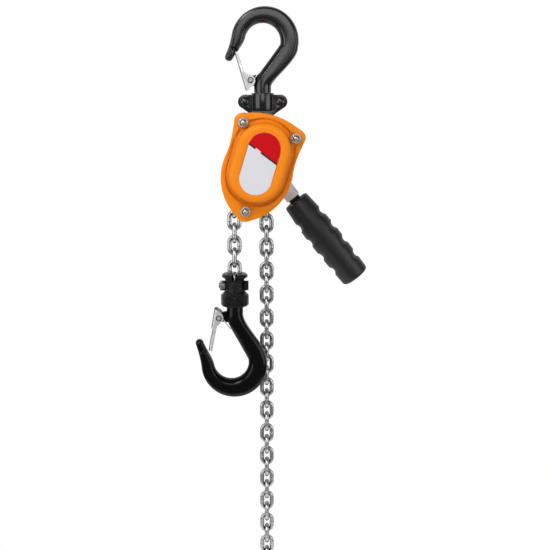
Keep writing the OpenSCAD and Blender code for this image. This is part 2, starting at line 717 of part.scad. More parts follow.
// Roll angle of an involute in degrees, at radius r from base radius b
function roll(r, b) = let (t = sqrt(max((r / b) ^ 2 - 1, 0))) t * 180 / PI - atan(t);
function gear_points(n) =
    let (p = gear_m * n / 2, b = p * cos(pressure),
         tip = p + gear_m * addendum, root = p - gear_m * dedendum,
         half = 90 / n - backlash / 2 / p * 180 / PI,
         low = max(b, root + 0.05),
         flank = [for (i = [0:flank_steps]) low + (tip - low) * i / flank_steps])
    [for (k = [0:n - 1], s = [-1, 1], i = [0:flank_steps + 1])
        let (j = s < 0 ? i : flank_steps + 1 - i,
             r = j == 0 ? root : flank[j - 1],
             a = half + roll(p, b) - roll(max(r, b), b))
        polar(r, 360 / n * k + 90 + s * a)];
module gear(n, y) { sheet(y, gear_w) polygon(gear_points(n)); }
half_wheel_tooth = 180 / wheel_teeth;

module load_gear() color(steel) in_frame() difference() {
    rotate([0, half_wheel_tooth, 0]) gear(wheel_teeth, slow_gear_y);
    bar([0, 0], gear_hub_d + 2 * fit, slow_gear_y - 1, slow_gear_y + gear_w + 1);
}

// Counter gear: wheel driven by the shaft's pinion, pinion that drives the load gear
module counter_gear(p) {
    translate(flat(p)) {
        rotate([0, half_wheel_tooth, 0]) gear(wheel_teeth, fast_gear_y);
        gear(pinion_teeth, slow_gear_y);
        bar([0, 0], journal_d, oval_inner_y + gap, gear_plate_y + plate_t);
    }
}
module upper_counter_gear() color(steel) in_frame() counter_gear(counters[0]);
module lower_counter_gear() color(steel) in_frame() counter_gear(counters[1]);

module drive_shaft() color(steel) in_frame() {
    gear(pinion_teeth, fast_gear_y);
    bar([0, 0], shaft_nose_d, oval_inner_y + gap, fast_gear_y + tiny);
    bar([0, 0], shaft_d, fast_gear_y, wheel_end_y + 5);
}

// Brake

hub_sleeve_d = 15;
lining_d = 34;
module brake_hub() color(steel) in_frame() difference() {
    union() {
        bar([0, 0], lining_d, hub_y, inner_lining_y);
        bar([0, 0], hub_sleeve_d, hub_y, change_y);
    }
    bar([0, 0], shaft_d + 2 * fit, hub_y - 1, change_y + 1);
}
module friction_disc(y) { ring([0, 0], lining_d, hub_sleeve_d + 2 * fit, y, y + lining_t); }
module inner_friction_disc() color("sienna") in_frame() friction_disc(inner_lining_y);
module outer_friction_disc() color("sienna") in_frame() friction_disc(outer_lining_y);

ratchet_teeth = 18;
ratchet_r = 20.5;
ratchet_root_r = 18;
module ratchet_disc() color(steel) in_frame() difference() {
    sheet(ratchet_y, ratchet_t) polygon([for (k = [0:ratchet_teeth - 1], h = [0, 1])
        polar(h == 0 ? ratchet_r : ratchet_root_r, 360 / ratchet_teeth * k + h)]);
    bar([0, 0], hub_sleeve_d + 2 * fit, ratchet_y - 1, ratchet_y + ratchet_t + 1);
}

// Pawls ride just clear of the ratchet's crests
pawl_pin_d = 4;
pawl_pivots = [[10.5, 25.5], [-10.5, -25.5]];
module pawl(turn) {
    rotate([0, turn, 0]) difference() {
        sheet(ratchet_y, ratchet_t) {
            translate(pawl_pivots[0]) circle(3.6);
            polygon([pawl_pivots[0] + [0, 3.2], pawl_pivots[0] - [1.4, 2.8],
                     polar(ratchet_r + loose, 92), polar(ratchet_r + 3, 94)]);
        }
        bar(pawl_pivots[0], pawl_pin_d + 2 * fit, ratchet_y - 1, ratchet_y + ratchet_t + 1);
    }
}
module upper_pawl() color(steel) in_frame() pawl(0);
module lower_pawl() color(steel) in_frame() pawl(180);
module pawl_pins() color(zinc) in_frame() for (p = pawl_pivots) {
    bar(p, pawl_pin_d, brake_plate_y, ratchet_y + ratchet_t + 1);
}

sleeve_d = 26;
sleeve_bore = 20;
module brake_cover() color(orange) in_frame() difference() {
    union() {
        translate([0, brake_face_y, 0]) pressed_cover(brake_oval_h);
        bar([0, 0], sleeve_d, brake_oval_y - cover_t, sleeve_end_y);
    }
    bar([0, 0], sleeve_bore, brake_oval_y - cover_t - 1, sleeve_end_y + 1);
}

// Change gear: clamps the brake and is driven by the lever's pawl
change_r = 13;
change_teeth = 12;
change_hub_d = 16;
module change_gear() color(steel) in_frame() difference() {
    union() {
        bar([0, 0], lining_d, change_y, change_y + 2);
        bar([0, 0], change_hub_d, change_y, lever_end_y);
        sheet(sleeve_end_y + 1, lever_end_y - sleeve_end_y - 4) {
            circle(change_r - 2.5);
            for (k = [0:change_teeth - 1]) rotate(360 / change_teeth * k)
                polygon([[change_r - 3, -2.2], [change_r, -1.2], [change_r, 1.2], [change_r - 3, 2.2]]);
        }
    }
    bar([0, 0], shaft_d + 2 * fit, change_y - 1, lever_end_y + 1);
}

// Lever

lever_wall = 2;
ferrule_len = 4.4;
neck_end = grip_start - ferrule_len;
neck_r = 7;
tang_d = 9;
module lever_outline(inset) {
    hull() {
        circle(lever_head_r - inset, $fn = 32);
        translate([neck_end - 12, 0]) circle(neck_r - inset, $fn = 32);
    }
    translate([neck_end - 12, inset - neck_r]) square([12 - inset, 2 * (neck_r - inset)]);
}

// One pressed half of the lever housing, open towards the middle
module lever_half(y, floor_y) {
    difference() {
        sheet(y, lever_depth / 2) lever_outline(0);
        sheet(floor_y, lever_depth / 2) lever_outline(lever_wall);
        translate([neck_end - 6, lever_mid_y, 0]) rotate([0, 90, 0]) cylinder(d = tang_d + 2 * fit, h = 12);
        for (p = lever_rivet_places) bar(p, lever_rivet_d + 2 * fit, lever_y - 1, lever_end_y + 1);
        children();
    }
}
lever_rivet_d = 4;
lever_rivet_places = [[-17, 0], [8, 16], [8, -16]];
selector_x = 34;
selector_d = 6;

module lever_housing_front() color(zinc) in_lever() lever_half(lever_y, lever_y + lever_wall) {
    bar([0, 0], sleeve_d + 2 * fit, lever_y - 1, lever_y + lever_wall + 1);
}
module lever_housing_rear() color(zinc) in_lever()
    lever_half(lever_mid_y, lever_mid_y - lever_wall) {
        bar([0, 0], change_hub_d + 2 * fit, lever_mid_y, lever_end_y + 1);
        bar([selector_x, 0], selector_d + 2 * fit, lever_mid_y, lever_end_y + 1);
    }
module lever_rivets() color(zinc) in_lever() for (p = lever_rivet_places) {
    bar(p, lever_rivet_d, lever_y, lever_end_y);
    bar(p, lever_rivet_d + 3, lever_end_y, lever_end_y + 1);
    bar(p, lever_rivet_d + 2, lever_y + lever_wall, lever_end_y - lever_wall);
}
module along_lever(x0, x1, d) {
    translate([x0, lever_mid_y, 0]) rotate([0, 90, 0]) cylinder(d = d, h = x1 - x0);
}
tang_share = 0.7;
module lever_tang() color(zinc) in_lever() {
    along_lever(neck_end - 8, grip_start + grip_len * tang_share, tang_d);
}
module lever_ferrule() color(black) in_lever() difference() {
    along_lever(neck_end, grip_start, 12);
    along_lever(neck_end - 1, grip_start + 1, tang_d + 2 * fit);
}

// Moulded grip: waisted ends, a fuller middle and four finger scallops on each edge
grip_sides = 24;
grip_rings = 44;
scallops = 4;
scallop_first = 0.24;
scallop_step = 0.195;
grip_full = 0.45;
function grip_half_w(t) = t < grip_full
    ? mid(grip_near_w, grip_mid_w, sin(90 * t / grip_full)) / 2
    : mid(grip_mid_w, grip_far_w, 1 - cos(90 * (t - grip_full) / (1 - grip_full))) / 2;
function scallop(t) = scallop_depth * max([for (k = [0:scallops - 1])
    let (u = abs(t - scallop_first - scallop_step * k) / (scallop_step * 0.4))
    u < 1 ? (1 + cos(180 * u)) / 2 : 0]);
function grip_ring(t, shrink, x) = let (w = grip_half_w(t) * shrink, s = scallop(t) * shrink)
    [for (j = [0:grip_sides - 1]) let (a = 360 / grip_sides * j)
        [x, lever_mid_y - w * 0.94 * cos(a), (w - s * abs(sin(a)) ^ 3) * sin(a)]];
function bore_ring(x) = [for (j = [0:grip_sides - 1]) let (a = 360 / grip_sides * j)
    [x, lever_mid_y - (tang_d / 2 + gap) * cos(a), (tang_d / 2 + gap) * sin(a)]];
module lever_grip() color(black) in_lever() {
    near_round = 1.5;
    far_round = 3;
    full_len = grip_len - near_round - far_round;
    rings = concat(
        [bore_ring(grip_start + grip_len * tang_share + gap), bore_ring(grip_start + tiny)],
        [for (a = [0, 45]) grip_ring(0, 1 - 0.1 * (1 - sin(a)), grip_start + near_round * (1 - cos(a)))],
        [for (i = [0:grip_rings])
            grip_ring(i / grip_rings, 1, grip_start + near_round + full_len * i / grip_rings)],
        [for (a = [30, 60, 85])
            grip_ring(1, 1 - 0.3 * (1 - cos(a)), grip_start + grip_len - far_round * (1 - sin(a)))]
    );
    polyhedron([for (r = rings) each r],
               concat(strip_faces(len(rings), grip_sides), end_faces(len(rings), grip_sides)));
}

// Selector: a knob behind the housing turns a pawl in front of the change gear
module selector_pawl() color(steel) in_lever() difference() {
    sheet(sleeve_end_y + 1.5, lever_end_y - sleeve_end_y - 5) {
        translate([selector_x, 0]) circle(5.5);
        polygon([[selector_x, 5.4], [change_r + 4, 5], [change_r + 2, 3],
                 [change_r + 2, -3], [change_r + 4, -5], [selector_x, -5.4]]);
    }
    bar([selector_x, 0], selector_d + 2 * fit, lever_y, lever_end_y);
}
module selector_knob() color(black) in_lever() {
    bar([selector_x, 0], selector_d, sleeve_end_y, lever_end_y + 2);
    sheet(lever_end_y + 0.5, 6) {
        translate([selector_x, 0]) circle(7);
        translate([selector_x, -2.5]) square([15, 5]);
    }
}

wheel_lobes = 6;
module hand_wheel() color(black) in_frame() difference() {
    sheet(wheel_y, hand_wheel_w) difference() {
        circle(d = hand_wheel_d);
        for (k = [0:wheel_lobes - 1])
            rotate(360 / wheel_lobes * k) translate([hand_wheel_d / 2 + 5, 0]) circle(8);
    }
    bar([0, 0], shaft_d + 2 * fit, wheel_y - 1, wheel_end_y + 1);
    ring([0, 0], hand_wheel_d - 14, 18, wheel_end_y - 3, wheel_end_y + 1);
}
module shaft_nut() color(zinc) in_frame() difference() {
    bar([0, 0], 14, wheel_end_y, wheel_end_y + 6, 6);
    bar([0, 0], shaft_d + 2 * fit, wheel_end_y - 1, wheel_end_y + 8);
}

// Bottom yoke: two cast halves round the last link and the hook's collar
yoke_lip = cross_bolt_z + 12;
yoke_lip_r = 12.5;
yoke_neck_r = 9.3;
yoke_block_r = 13.5;
yoke_block_h = 15;
yoke_flat = 10.5;
slot_t = chain_wire + 2 * loose;
slot_w = chain_width + 2 * loose;
slot_h = 40;
slot_z = last_link_z - crown - chain_wire - loose;
mouth_z = cross_bolt_z + 5.4;
seam_w = 1.4;
seam_depth = 1.6;
seam_h = 15;

module bottom_yoke_half(side) {
    intersection() {
        difference() {
            intersection() {
                translate([fall_x, 0, 0]) rotate_extrude() polygon([
                    [0, yoke_foot], [yoke_block_r - 1.5, yoke_foot], [yoke_block_r, yoke_foot + 1.5],
                    [yoke_block_r, yoke_foot + yoke_block_h - 4.5], [yoke_neck_r, yoke_foot + yoke_block_h],
                    [yoke_neck_r, yoke_lip - 5.5], [yoke_lip_r, yoke_lip - 3], [yoke_lip_r, yoke_lip - 1.5],
                    [yoke_lip_r - 1.5, yoke_lip], [0, yoke_lip]]);
                translate([fall_x - yoke_block_r, -yoke_flat, yoke_foot])
                    cube([2 * yoke_block_r, 2 * yoke_flat, yoke_lip - yoke_foot]);
            }
            translate([fall_x, 0, yoke_foot - 1]) cylinder(d = neck_d + 2 * fit, h = swivel_wall + 1.5);
            translate([fall_x, 0, yoke_foot - loose + swivel_wall])
                cylinder(d = collar_d + 2 * loose, h = collar_h + loose);
            translate([fall_x - slot_t / 2, -slot_w / 2, slot_z])
                cube([slot_t, slot_w, slot_h]);
            translate([fall_x - slot_w / 2, -slot_t / 2, slot_z + chain_pitch])
                cube([slot_w, slot_t, slot_h]);
            across(-30, 30, cross_bolt_d + 2 * fit);
            translate([fall_x - slot_t / 2, -yoke_block_r, mouth_z])
                cube([slot_t, 2 * yoke_block_r, slot_h]);
            for (s = [-1, 1])
                translate([fall_x - seam_w / 2, s * yoke_neck_r - seam_depth, mouth_z - seam_h])
                    cube([seam_w, 2 * seam_depth, slot_h]);
        }
        translate([side > 0 ? fall_x : fall_x - 2 * yoke_block_r, -yoke_block_r, yoke_foot])
            cube([2 * yoke_block_r, 2 * yoke_block_r, yoke_lip - yoke_foot]);
    }
}
// A round or six-sided bar along X at the cross bolt
module across(x0, x1, d, sides = 48) {
    translate([fall_x + x0, 0, cross_bolt_z]) rotate([0, 90, 0]) cylinder(d = d, h = x1 - x0, $fn = sides);
}
module bottom_yoke_left() color(black) bottom_yoke_half(-1);
module bottom_yoke_right() color(black) bottom_yoke_half(1);
module bottom_yoke_bolt() color(black) {
    across(-yoke_neck_r - 6, yoke_neck_r, cross_bolt_d);
    across(yoke_neck_r, yoke_neck_r + 4, cross_bolt_hex, 6);
}
module bottom_yoke_nut() color(zinc) difference() {
    across(-yoke_neck_r - 5, -yoke_neck_r, cross_bolt_hex, 6);
    across(-yoke_neck_r - 6, 0, cross_bolt_d + 2 * fit);
}

top_hook();
top_latch();
top_latch_spring();
top_latch_rivet();
top_yoke_front();
top_yoke_rear();
top_yoke_rivets();
suspension_pin();
gear_side_plate();
brake_side_plate();
stay_studs();
stay_spacers();
stay_washers();
stay_nuts();
gear_cover();
rating_plate();
gear_side_bush();
brake_side_bush();
chain_stripper();
chain_guides();
load_chain_wrap();
load_sheave();
load_gear();
upper_counter_gear();
lower_counter_gear();
drive_shaft();
brake_hub();
inner_friction_disc();
outer_friction_disc();
change_gear();
hand_wheel();
shaft_nut();
ratchet_disc();
upper_pawl();
lower_pawl();
pawl_pins();
brake_cover();
lever_housing_front();
lever_housing_rear();
lever_rivets();
lever_tang();
lever_ferrule();
lever_grip();
selector_pawl();
selector_knob();
load_chain_fall();
bottom_yoke_left();
bottom_yoke_right();
bottom_yoke_bolt();
bottom_yoke_nut();
bottom_hook();
bottom_latch();
bottom_latch_spring();
bottom_latch_rivet();
load_chain_tail();
tail_end_ring();
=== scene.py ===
"""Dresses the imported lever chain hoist: fine meshes, procedural finishes, studio and camera."""

from __future__ import annotations

import json
import logging
import math
from dataclasses import dataclass, field, replace
from enum import Enum
from typing import Any, NamedTuple, Sequence

import bmesh
import bpy
import numpy as np
from mathutils import Matrix, Vector


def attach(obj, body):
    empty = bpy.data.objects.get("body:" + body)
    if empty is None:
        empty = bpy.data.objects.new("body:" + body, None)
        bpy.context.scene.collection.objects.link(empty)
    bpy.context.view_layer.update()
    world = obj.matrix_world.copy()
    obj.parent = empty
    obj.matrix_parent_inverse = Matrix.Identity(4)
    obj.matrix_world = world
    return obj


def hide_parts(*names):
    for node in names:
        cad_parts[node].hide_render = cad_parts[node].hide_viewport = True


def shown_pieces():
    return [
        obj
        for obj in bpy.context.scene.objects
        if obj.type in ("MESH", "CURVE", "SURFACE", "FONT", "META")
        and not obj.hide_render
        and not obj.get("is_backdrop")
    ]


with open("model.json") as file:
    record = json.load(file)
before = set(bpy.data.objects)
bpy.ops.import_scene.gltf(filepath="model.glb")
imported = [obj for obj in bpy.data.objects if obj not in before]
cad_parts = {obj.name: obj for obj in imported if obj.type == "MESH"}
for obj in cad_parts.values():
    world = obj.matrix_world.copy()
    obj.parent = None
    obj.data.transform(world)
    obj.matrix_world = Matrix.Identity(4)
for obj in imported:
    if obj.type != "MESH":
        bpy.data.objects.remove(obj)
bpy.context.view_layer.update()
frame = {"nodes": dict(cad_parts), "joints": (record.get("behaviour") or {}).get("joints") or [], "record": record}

log = logging.getLogger("scene")
MM = 0.001
WELD_GAP = 0.002
Rgb = tuple[float, float, float]
Point2 = tuple[float, float]
Socket = bpy.types.NodeSocket


class Body(str, Enum):
    """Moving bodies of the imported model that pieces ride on."""

    TOP_HOOK = "top_hook"
    TOP_LATCH = "top_latch"
    TOP_YOKE = "top_yoke"
    FRAME = "frame"
    SHAFT = "drive_shaft"
    LEVER = "lever"
    SELECTOR = "selector"
    FALL = "load_fall"
    BOTTOM_HOOK = "bottom_hook"
    BOTTOM_LATCH = "bottom_latch"
    TAIL = "chain_tail"


class Side(str, Enum):
    """The two hooks."""

    TOP = "top"
    BOTTOM = "bottom"


class Slot(str, Enum):
    """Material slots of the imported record."""

    FORGED = "black_forged"
    CAST = "black_cast"
    ZINC = "zinc"
    YELLOW_ZINC = "yellow_zinc"
    CHAIN = "chain_zinc"
    PAINT = "orange_paint"
    PLATE = "plate_face"
    STEEL = "steel"
    BRONZE = "bronze"
    LINING = "lining"
    RUBBER = "grip_rubber"
    PLASTIC = "black_plastic"


# Finishes


@dataclass(frozen=True)
class Finish:
    """One surface finish. Its colours are linear.

    Args:
        name: Name of the material.
        slot: Record slot that the finish belongs to; not used.
        color: Base colour.
        alt_color: Colour that the grain drifts towards.
        metallic: Metallic value of the shader.
        roughness: Lowest roughness.
        rough_span: Roughness that the grain adds at most.
        grain_mm: Size of the grain in millimetres.
        bump_mm: Height of the grain in millimetres.
        wear: Share of the edges that are rubbed.
        wear_color: Colour of a rubbed edge.
        dust: Share of dust on faces that look up.
        specular: Specular level of the shader.
        edge_shade_tint: Tint of the reflection near grazing angles; a dark tint paints shade along the edges of
            metals.
        crevice_shade: Share of the colour that crevices lose to painted shade.
        crevice_shade_color: Colour of the painted shade in the crevices.
        crevice_shade_mm: How far from a crevice the painted shade reaches in millimetres.
        rim: Share that turned away faces lose, as painted shade: of the colour on metals, of the gloss on other
            finishes.
    """

    name: str
    slot: Slot
    color: Rgb
    alt_color: Rgb
    metallic: float = 0.0
    roughness: float = 0.3
    rough_span: float = 0.1
    grain_mm: float = 0.6
    bump_mm: float = 0.003
    wear: float = 0.0
    wear_color: Rgb = (0.9, 0.9, 0.92)
    dust: float = 0.0
    specular: float = 0.5
    edge_shade_tint: Rgb = (1.0, 1.0, 1.0)
    crevice_shade: float = 0.0
    crevice_shade_color: Rgb = (0.02, 0.019, 0.018)
    crevice_shade_mm: float = 4.0
    rim: float = 0.0


class Finishes:
    """Every finish on the hoist."""

    # Crevice darkening is painted shade; dark edge tints and rim shares paint shade along turned away edges.
    forged = Finish(
        "forged_black", Slot.FORGED, (0.0025, 0.0025, 0.0027), (0.006, 0.0058, 0.0058), roughness=0.17,
        rough_span=0.08, grain_mm=1.1, bump_mm=0.012, wear=0.25, wear_color=(0.05, 0.05, 0.05),
        specular=0.85, rim=0.8)
    forged_gloss = replace(
        forged, name="forged_gloss", color=(0.0012, 0.0012, 0.0013), alt_color=(0.0025, 0.0025, 0.0026),
        roughness=0.15, bump_mm=0.01, wear=0.2, wear_color=(0.04, 0.04, 0.04), specular=0.3, rim=0.7)
    cast = Finish(
        "cast_black", Slot.CAST, (0.002, 0.002, 0.002), (0.006, 0.006, 0.006), roughness=0.2, rough_span=0.2,
        grain_mm=2.6, bump_mm=0.7, wear=0.4, wear_color=(0.06, 0.06, 0.06), specular=0.3, crevice_shade=0.5)
    zinc = Finish(
        "bright_zinc", Slot.ZINC, (0.66, 0.67, 0.69), (0.56, 0.57, 0.59), 1.0, roughness=0.26,
        rough_span=0.14, grain_mm=0.7, wear=0.3, edge_shade_tint=(0.35, 0.35, 0.36), crevice_shade=0.7, rim=0.7)
    latch = Finish(
        "latch_zinc", Slot.ZINC, (0.84, 0.84, 0.86), (0.76, 0.76, 0.78), 0.6, grain_mm=0.7, bump_mm=0.002,
        wear=0.2, edge_shade_tint=(0.15, 0.15, 0.16), crevice_shade=0.45, rim=1.0)
    # A paler, less metallic copy of the latch zinc: painted light that brightens the lever housings, the tang and
    # the stay washers.
    pale = replace(latch, name="brightened_zinc", metallic=0.4, roughness=0.28)
    yellow = Finish(
        "yellow_zinc", Slot.YELLOW_ZINC, (0.76, 0.7, 0.54), (0.62, 0.57, 0.46), 1.0, roughness=0.26,
        rough_span=0.16, grain_mm=0.5, bump_mm=0.006, wear=0.3, wear_color=(0.85, 0.8, 0.66), dust=0.02,
        edge_shade_tint=(0.4, 0.38, 0.3), crevice_shade=0.6)
    # The chain takes strong painted shade where links touch and in crevices, and painted shade along its edges
    # from the dark edge tint and rim.
    chain = Finish(
        "chain_zinc", Slot.CHAIN, (0.8, 0.805, 0.82), (0.58, 0.585, 0.595), 1.0, roughness=0.2,
        rough_span=0.2, grain_mm=0.8, bump_mm=0.012, wear=0.35, wear_color=(0.9, 0.9, 0.9),
        edge_shade_tint=(0.16, 0.16, 0.17), crevice_shade=0.92, rim=0.9)
    # The orange coat takes deep brown painted shade reaching 14 mm from crevices, darkening the cover's grooves.
    paint = Finish(
        "orange_coat", Slot.PAINT, (0.92, 0.265, 0.006), (0.88, 0.235, 0.005), roughness=0.36, grain_mm=0.9,
        bump_mm=0.012, wear=0.08, wear_color=(0.95, 0.5, 0.2), specular=0.18, crevice_shade=0.7,
        crevice_shade_color=(0.34, 0.05, 0.0), crevice_shade_mm=14.0)
    steel = Finish(
        "machined_steel", Slot.STEEL, (0.5, 0.5, 0.52), (0.38, 0.38, 0.4), 1.0, rough_span=0.2, grain_mm=0.8,
        bump_mm=0.01, wear=0.3, wear_color=(0.7, 0.7, 0.7), dust=0.03, edge_shade_tint=(0.4, 0.4, 0.4), crevice_shade=0.6)
    bronze = Finish(
        "bush_bronze", Slot.BRONZE, (0.6, 0.4, 0.2), (0.5, 0.32, 0.16), 1.0, roughness=0.35, rough_span=0.2,
        bump_mm=0.01, wear=0.3, wear_color=(0.7, 0.5, 0.3), dust=0.03, crevice_shade=0.5)
    lining = Finish(
        "brake_lining", Slot.LINING, (0.2, 0.12, 0.08), (0.1, 0.07, 0.05), roughness=0.75, rough_span=0.15,
        grain_mm=0.5, bump_mm=0.05, wear=0.1, wear_color=(0.3, 0.2, 0.15), dust=0.03)
    rubber = Finish(
        "grip_rubber", Slot.RUBBER, (0.005, 0.005, 0.0055), (0.009, 0.009, 0.0095), roughness=0.36,
        grain_mm=0.5, bump_mm=0.012, wear=0.1, wear_color=(0.03, 0.03, 0.03), specular=0.65, rim=0.95)
    plastic = Finish(
        "black_moulding", Slot.PLASTIC, (0.006, 0.006, 0.0065), (0.012, 0.012, 0.0125), roughness=0.4,
        rough_span=0.15, grain_mm=0.5, bump_mm=0.015, wear=0.2, wear_color=(0.06, 0.06, 0.06), dust=0.01,
        specular=0.2)
    label_white = Finish(
        "label_white", Slot.PLATE, (0.72, 0.71, 0.74), (0.69, 0.68, 0.71), rough_span=0.08, specular=0.2)
    label_dark = replace(
        label_white, name="label_dark", color=(0.012, 0.012, 0.014), alt_color=(0.02, 0.02, 0.022))
    label_red = replace(
        label_white, name="label_red", color=(0.6, 0.004, 0.01), alt_color=(0.54, 0.003, 0.008),
        specular=0.12)


@dataclass
class Wiring:
    """Adds nodes to a node tree and joins their sockets.

    Args:
        tree: The node tree.
    """

    tree: bpy.types.NodeTree

    @classmethod
    def of(cls, owner: bpy.types.Material | bpy.types.World) -> Wiring:
        """Empties the node tree of a material or a world.

        Args:
            owner: The material or the world.

        Returns:
            The wiring of its tree.
        """
        owner.use_nodes = True
        owner.node_tree.nodes.clear()
        return cls(owner.node_tree)

    def fill(self, node: bpy.types.Node, inputs: dict[str | int, Any]) -> None:
        """Links sockets to the inputs of a node, or sets their values.

        Args:
            node: The node.
            inputs: A socket or a value for each input.
        """
        for key, value in inputs.items():
            if isinstance(value, Socket):
                self.tree.links.new(value, node.inputs[key])
            else:
                node.inputs[key].default_value = value

    def add(self, kind: str, inputs: dict[str | int, Any] | None = None, **settings: Any) -> bpy.types.Node:
        """Adds a node.

        Args:
            kind: Kind of the node, without the word ShaderNode.
            inputs: A socket or a value for each input.
            settings: Other settings of the node.

        Returns:
            The node.
        """
        node = self.tree.nodes.new("ShaderNode" + kind)
        for key, value in settings.items():
            setattr(node, key, value)
        self.fill(node, inputs or {})
        return node

    def calc(self, operation: str, first: Socket | float, second: Socket | float) -> Socket:
        """Joins two values by an operation."""
        return self.add("Math", {0: first, 1: second}, operation=operation).outputs[0]

    def noise(self, scale: Socket | float, **inputs: float) -> Socket:
        """Noise in the coordinates of the object, with other inputs such as Detail."""
        place = self.add("TexCoord").outputs["Object"]
        return self.add("TexNoise", {"Vector": place, "Scale": scale, **inputs}).outputs["Fac"]

    def remap(self, value: Socket, span: Point2, levels: Point2 = (0.0, 1.0), kind: str = "LINEAR") -> Socket:
        """Changes a value from one level to another.

        Args:
            value: Socket that is read.
            span: Values at which the change starts and ends.
            levels: The two levels.
            kind: How the change runs between them.

        Returns:
            The socket with the level.
        """
        keys = ("Value", "From Min", "From Max", "To Min", "To Max")
        inputs = dict(zip(keys, (value, *span, *levels)))
        return self.add("MapRange", inputs, interpolation_type=kind).outputs[0]

    def blend(self, mask: Socket, low: Socket | Rgb, high: Rgb) -> Socket:
        """Mixes two colours, low where the mask is 0 and high where it is 1."""
        first = low if isinstance(low, Socket) else (*low, 1.0)
        return self.add("Mix", {"Factor": mask, 6: first, 7: (*high, 1.0)}, data_type="RGBA").outputs[2]


class NodeGroups:
    """Shared shader effects. Each group puts out masks, values or normals only."""

    broad_share = 0.07
    edge_span = (0.53, 0.62)
    rubbed_span = (0.42, 0.62)
    upward_span = (0.3, 1.0)
    shut_span = (0.95, 0.35)
    rubbed_scale = 260.0
    dust_scale = 120.0
    sky_samples = 8

    def __init__(self) -> None:
        """Builds the groups."""
        self.grain = self._grain()
        self.edge_wear = self._edge_wear()
        self.dust = self._dust()
        self.crevice = self._crevice()

    @staticmethod
    def _new(name: str, inputs: dict[str, float],
             outputs: dict[str, str]) -> tuple[Wiring, Any, bpy.types.Node]:
        """Makes an empty group.

        Args:
            name: Name of the group.
            inputs: Float inputs with their defaults.
            outputs: Output names with their socket types.

        Returns:
            The wiring of the group, the sockets of its inputs and its output node.
        """
        group = bpy.data.node_groups.new(name, "ShaderNodeTree")
        for key, value in inputs.items():
            socket = group.interface.new_socket(key, in_out="INPUT", socket_type="NodeSocketFloat")
            socket.default_value = value
        for key, kind in outputs.items():
            group.interface.new_socket(key, in_out="OUTPUT", socket_type=kind)
        return Wiring(group), group.nodes.new("NodeGroupInput").outputs, group.nodes.new("NodeGroupOutput")

    def _grain(self) -> bpy.types.NodeTree:
        """Fine and broad mottling with a bump normal.

        Returns:
            The node group.
        """
        wiring, given, out = self._new(
            "surface_grain", {"Scale": 800.0, "Height": 0.00002},
            {"Fine": "NodeSocketFloat", "Broad": "NodeSocketFloat", "Normal": "NodeSocketVector"})
        fine = wiring.noise(given["Scale"], Detail=5.0, Roughness=0.6)
        broad = wiring.noise(wiring.calc("MULTIPLY", given["Scale"], self.broad_share), Detail=3.0)
        bump = wiring.add("Bump", {"Strength": 1.0, "Distance": given["Height"], "Height": fine})
        wiring.fill(out, {"Fine": fine, "Broad": broad, "Normal": bump.outputs["Normal"]})
        return wiring.tree

    def _edge_wear(self) -> bpy.types.NodeTree:
        """Mask of rubbed convex edges, broken up by noise.

        Returns:
            The node group.
        """
        wiring, given, out = self._new("edge_wear", {"Amount": 0.2}, {"Mask": "NodeSocketFloat"})
        sharp = wiring.remap(wiring.add("NewGeometry").outputs["Pointiness"], self.edge_span)
        broken = wiring.remap(wiring.noise(self.rubbed_scale, Detail=6.0), self.rubbed_span)
        both = wiring.calc("MULTIPLY", sharp, broken)
        wiring.fill(out, {"Mask": wiring.calc("MULTIPLY", both, given["Amount"])})
        return wiring.tree

    def _dust(self) -> bpy.types.NodeTree:
        """Mask of thin dust on faces that look up.

        Returns:
            The node group.
        """
        wiring, given, out = self._new("settled_dust", {"Amount": 0.05}, {"Mask": "NodeSocketFloat"})
        split = wiring.add("SeparateXYZ", {0: wiring.add("NewGeometry").outputs["Normal"]})
        up = wiring.remap(split.outputs["Z"], self.upward_span)
        both = wiring.calc("MULTIPLY", up, wiring.noise(self.dust_scale, Detail=5.0))
        wiring.fill(out, {"Mask": wiring.calc("MULTIPLY", both, given["Amount"])})
        return wiring.tree

    def _crevice(self) -> bpy.types.NodeTree:
        """Mask of crevices and contacts, for painted shade.

        Returns:
            The node group.
        """
        wiring, given, out = self._new(
            "painted_crevice_shade", {"Amount": 0.0, "Reach": 0.004}, {"Mask": "NodeSocketFloat"})
        open_sky = wiring.add("AmbientOcclusion", {"Distance": given["Reach"]}, samples=self.sky_samples)
        shut = wiring.remap(open_sky.outputs["AO"], self.shut_span)
        wiring.fill(out, {"Mask": wiring.calc("MULTIPLY", shut, given["Amount"])})
        return wiring.tree


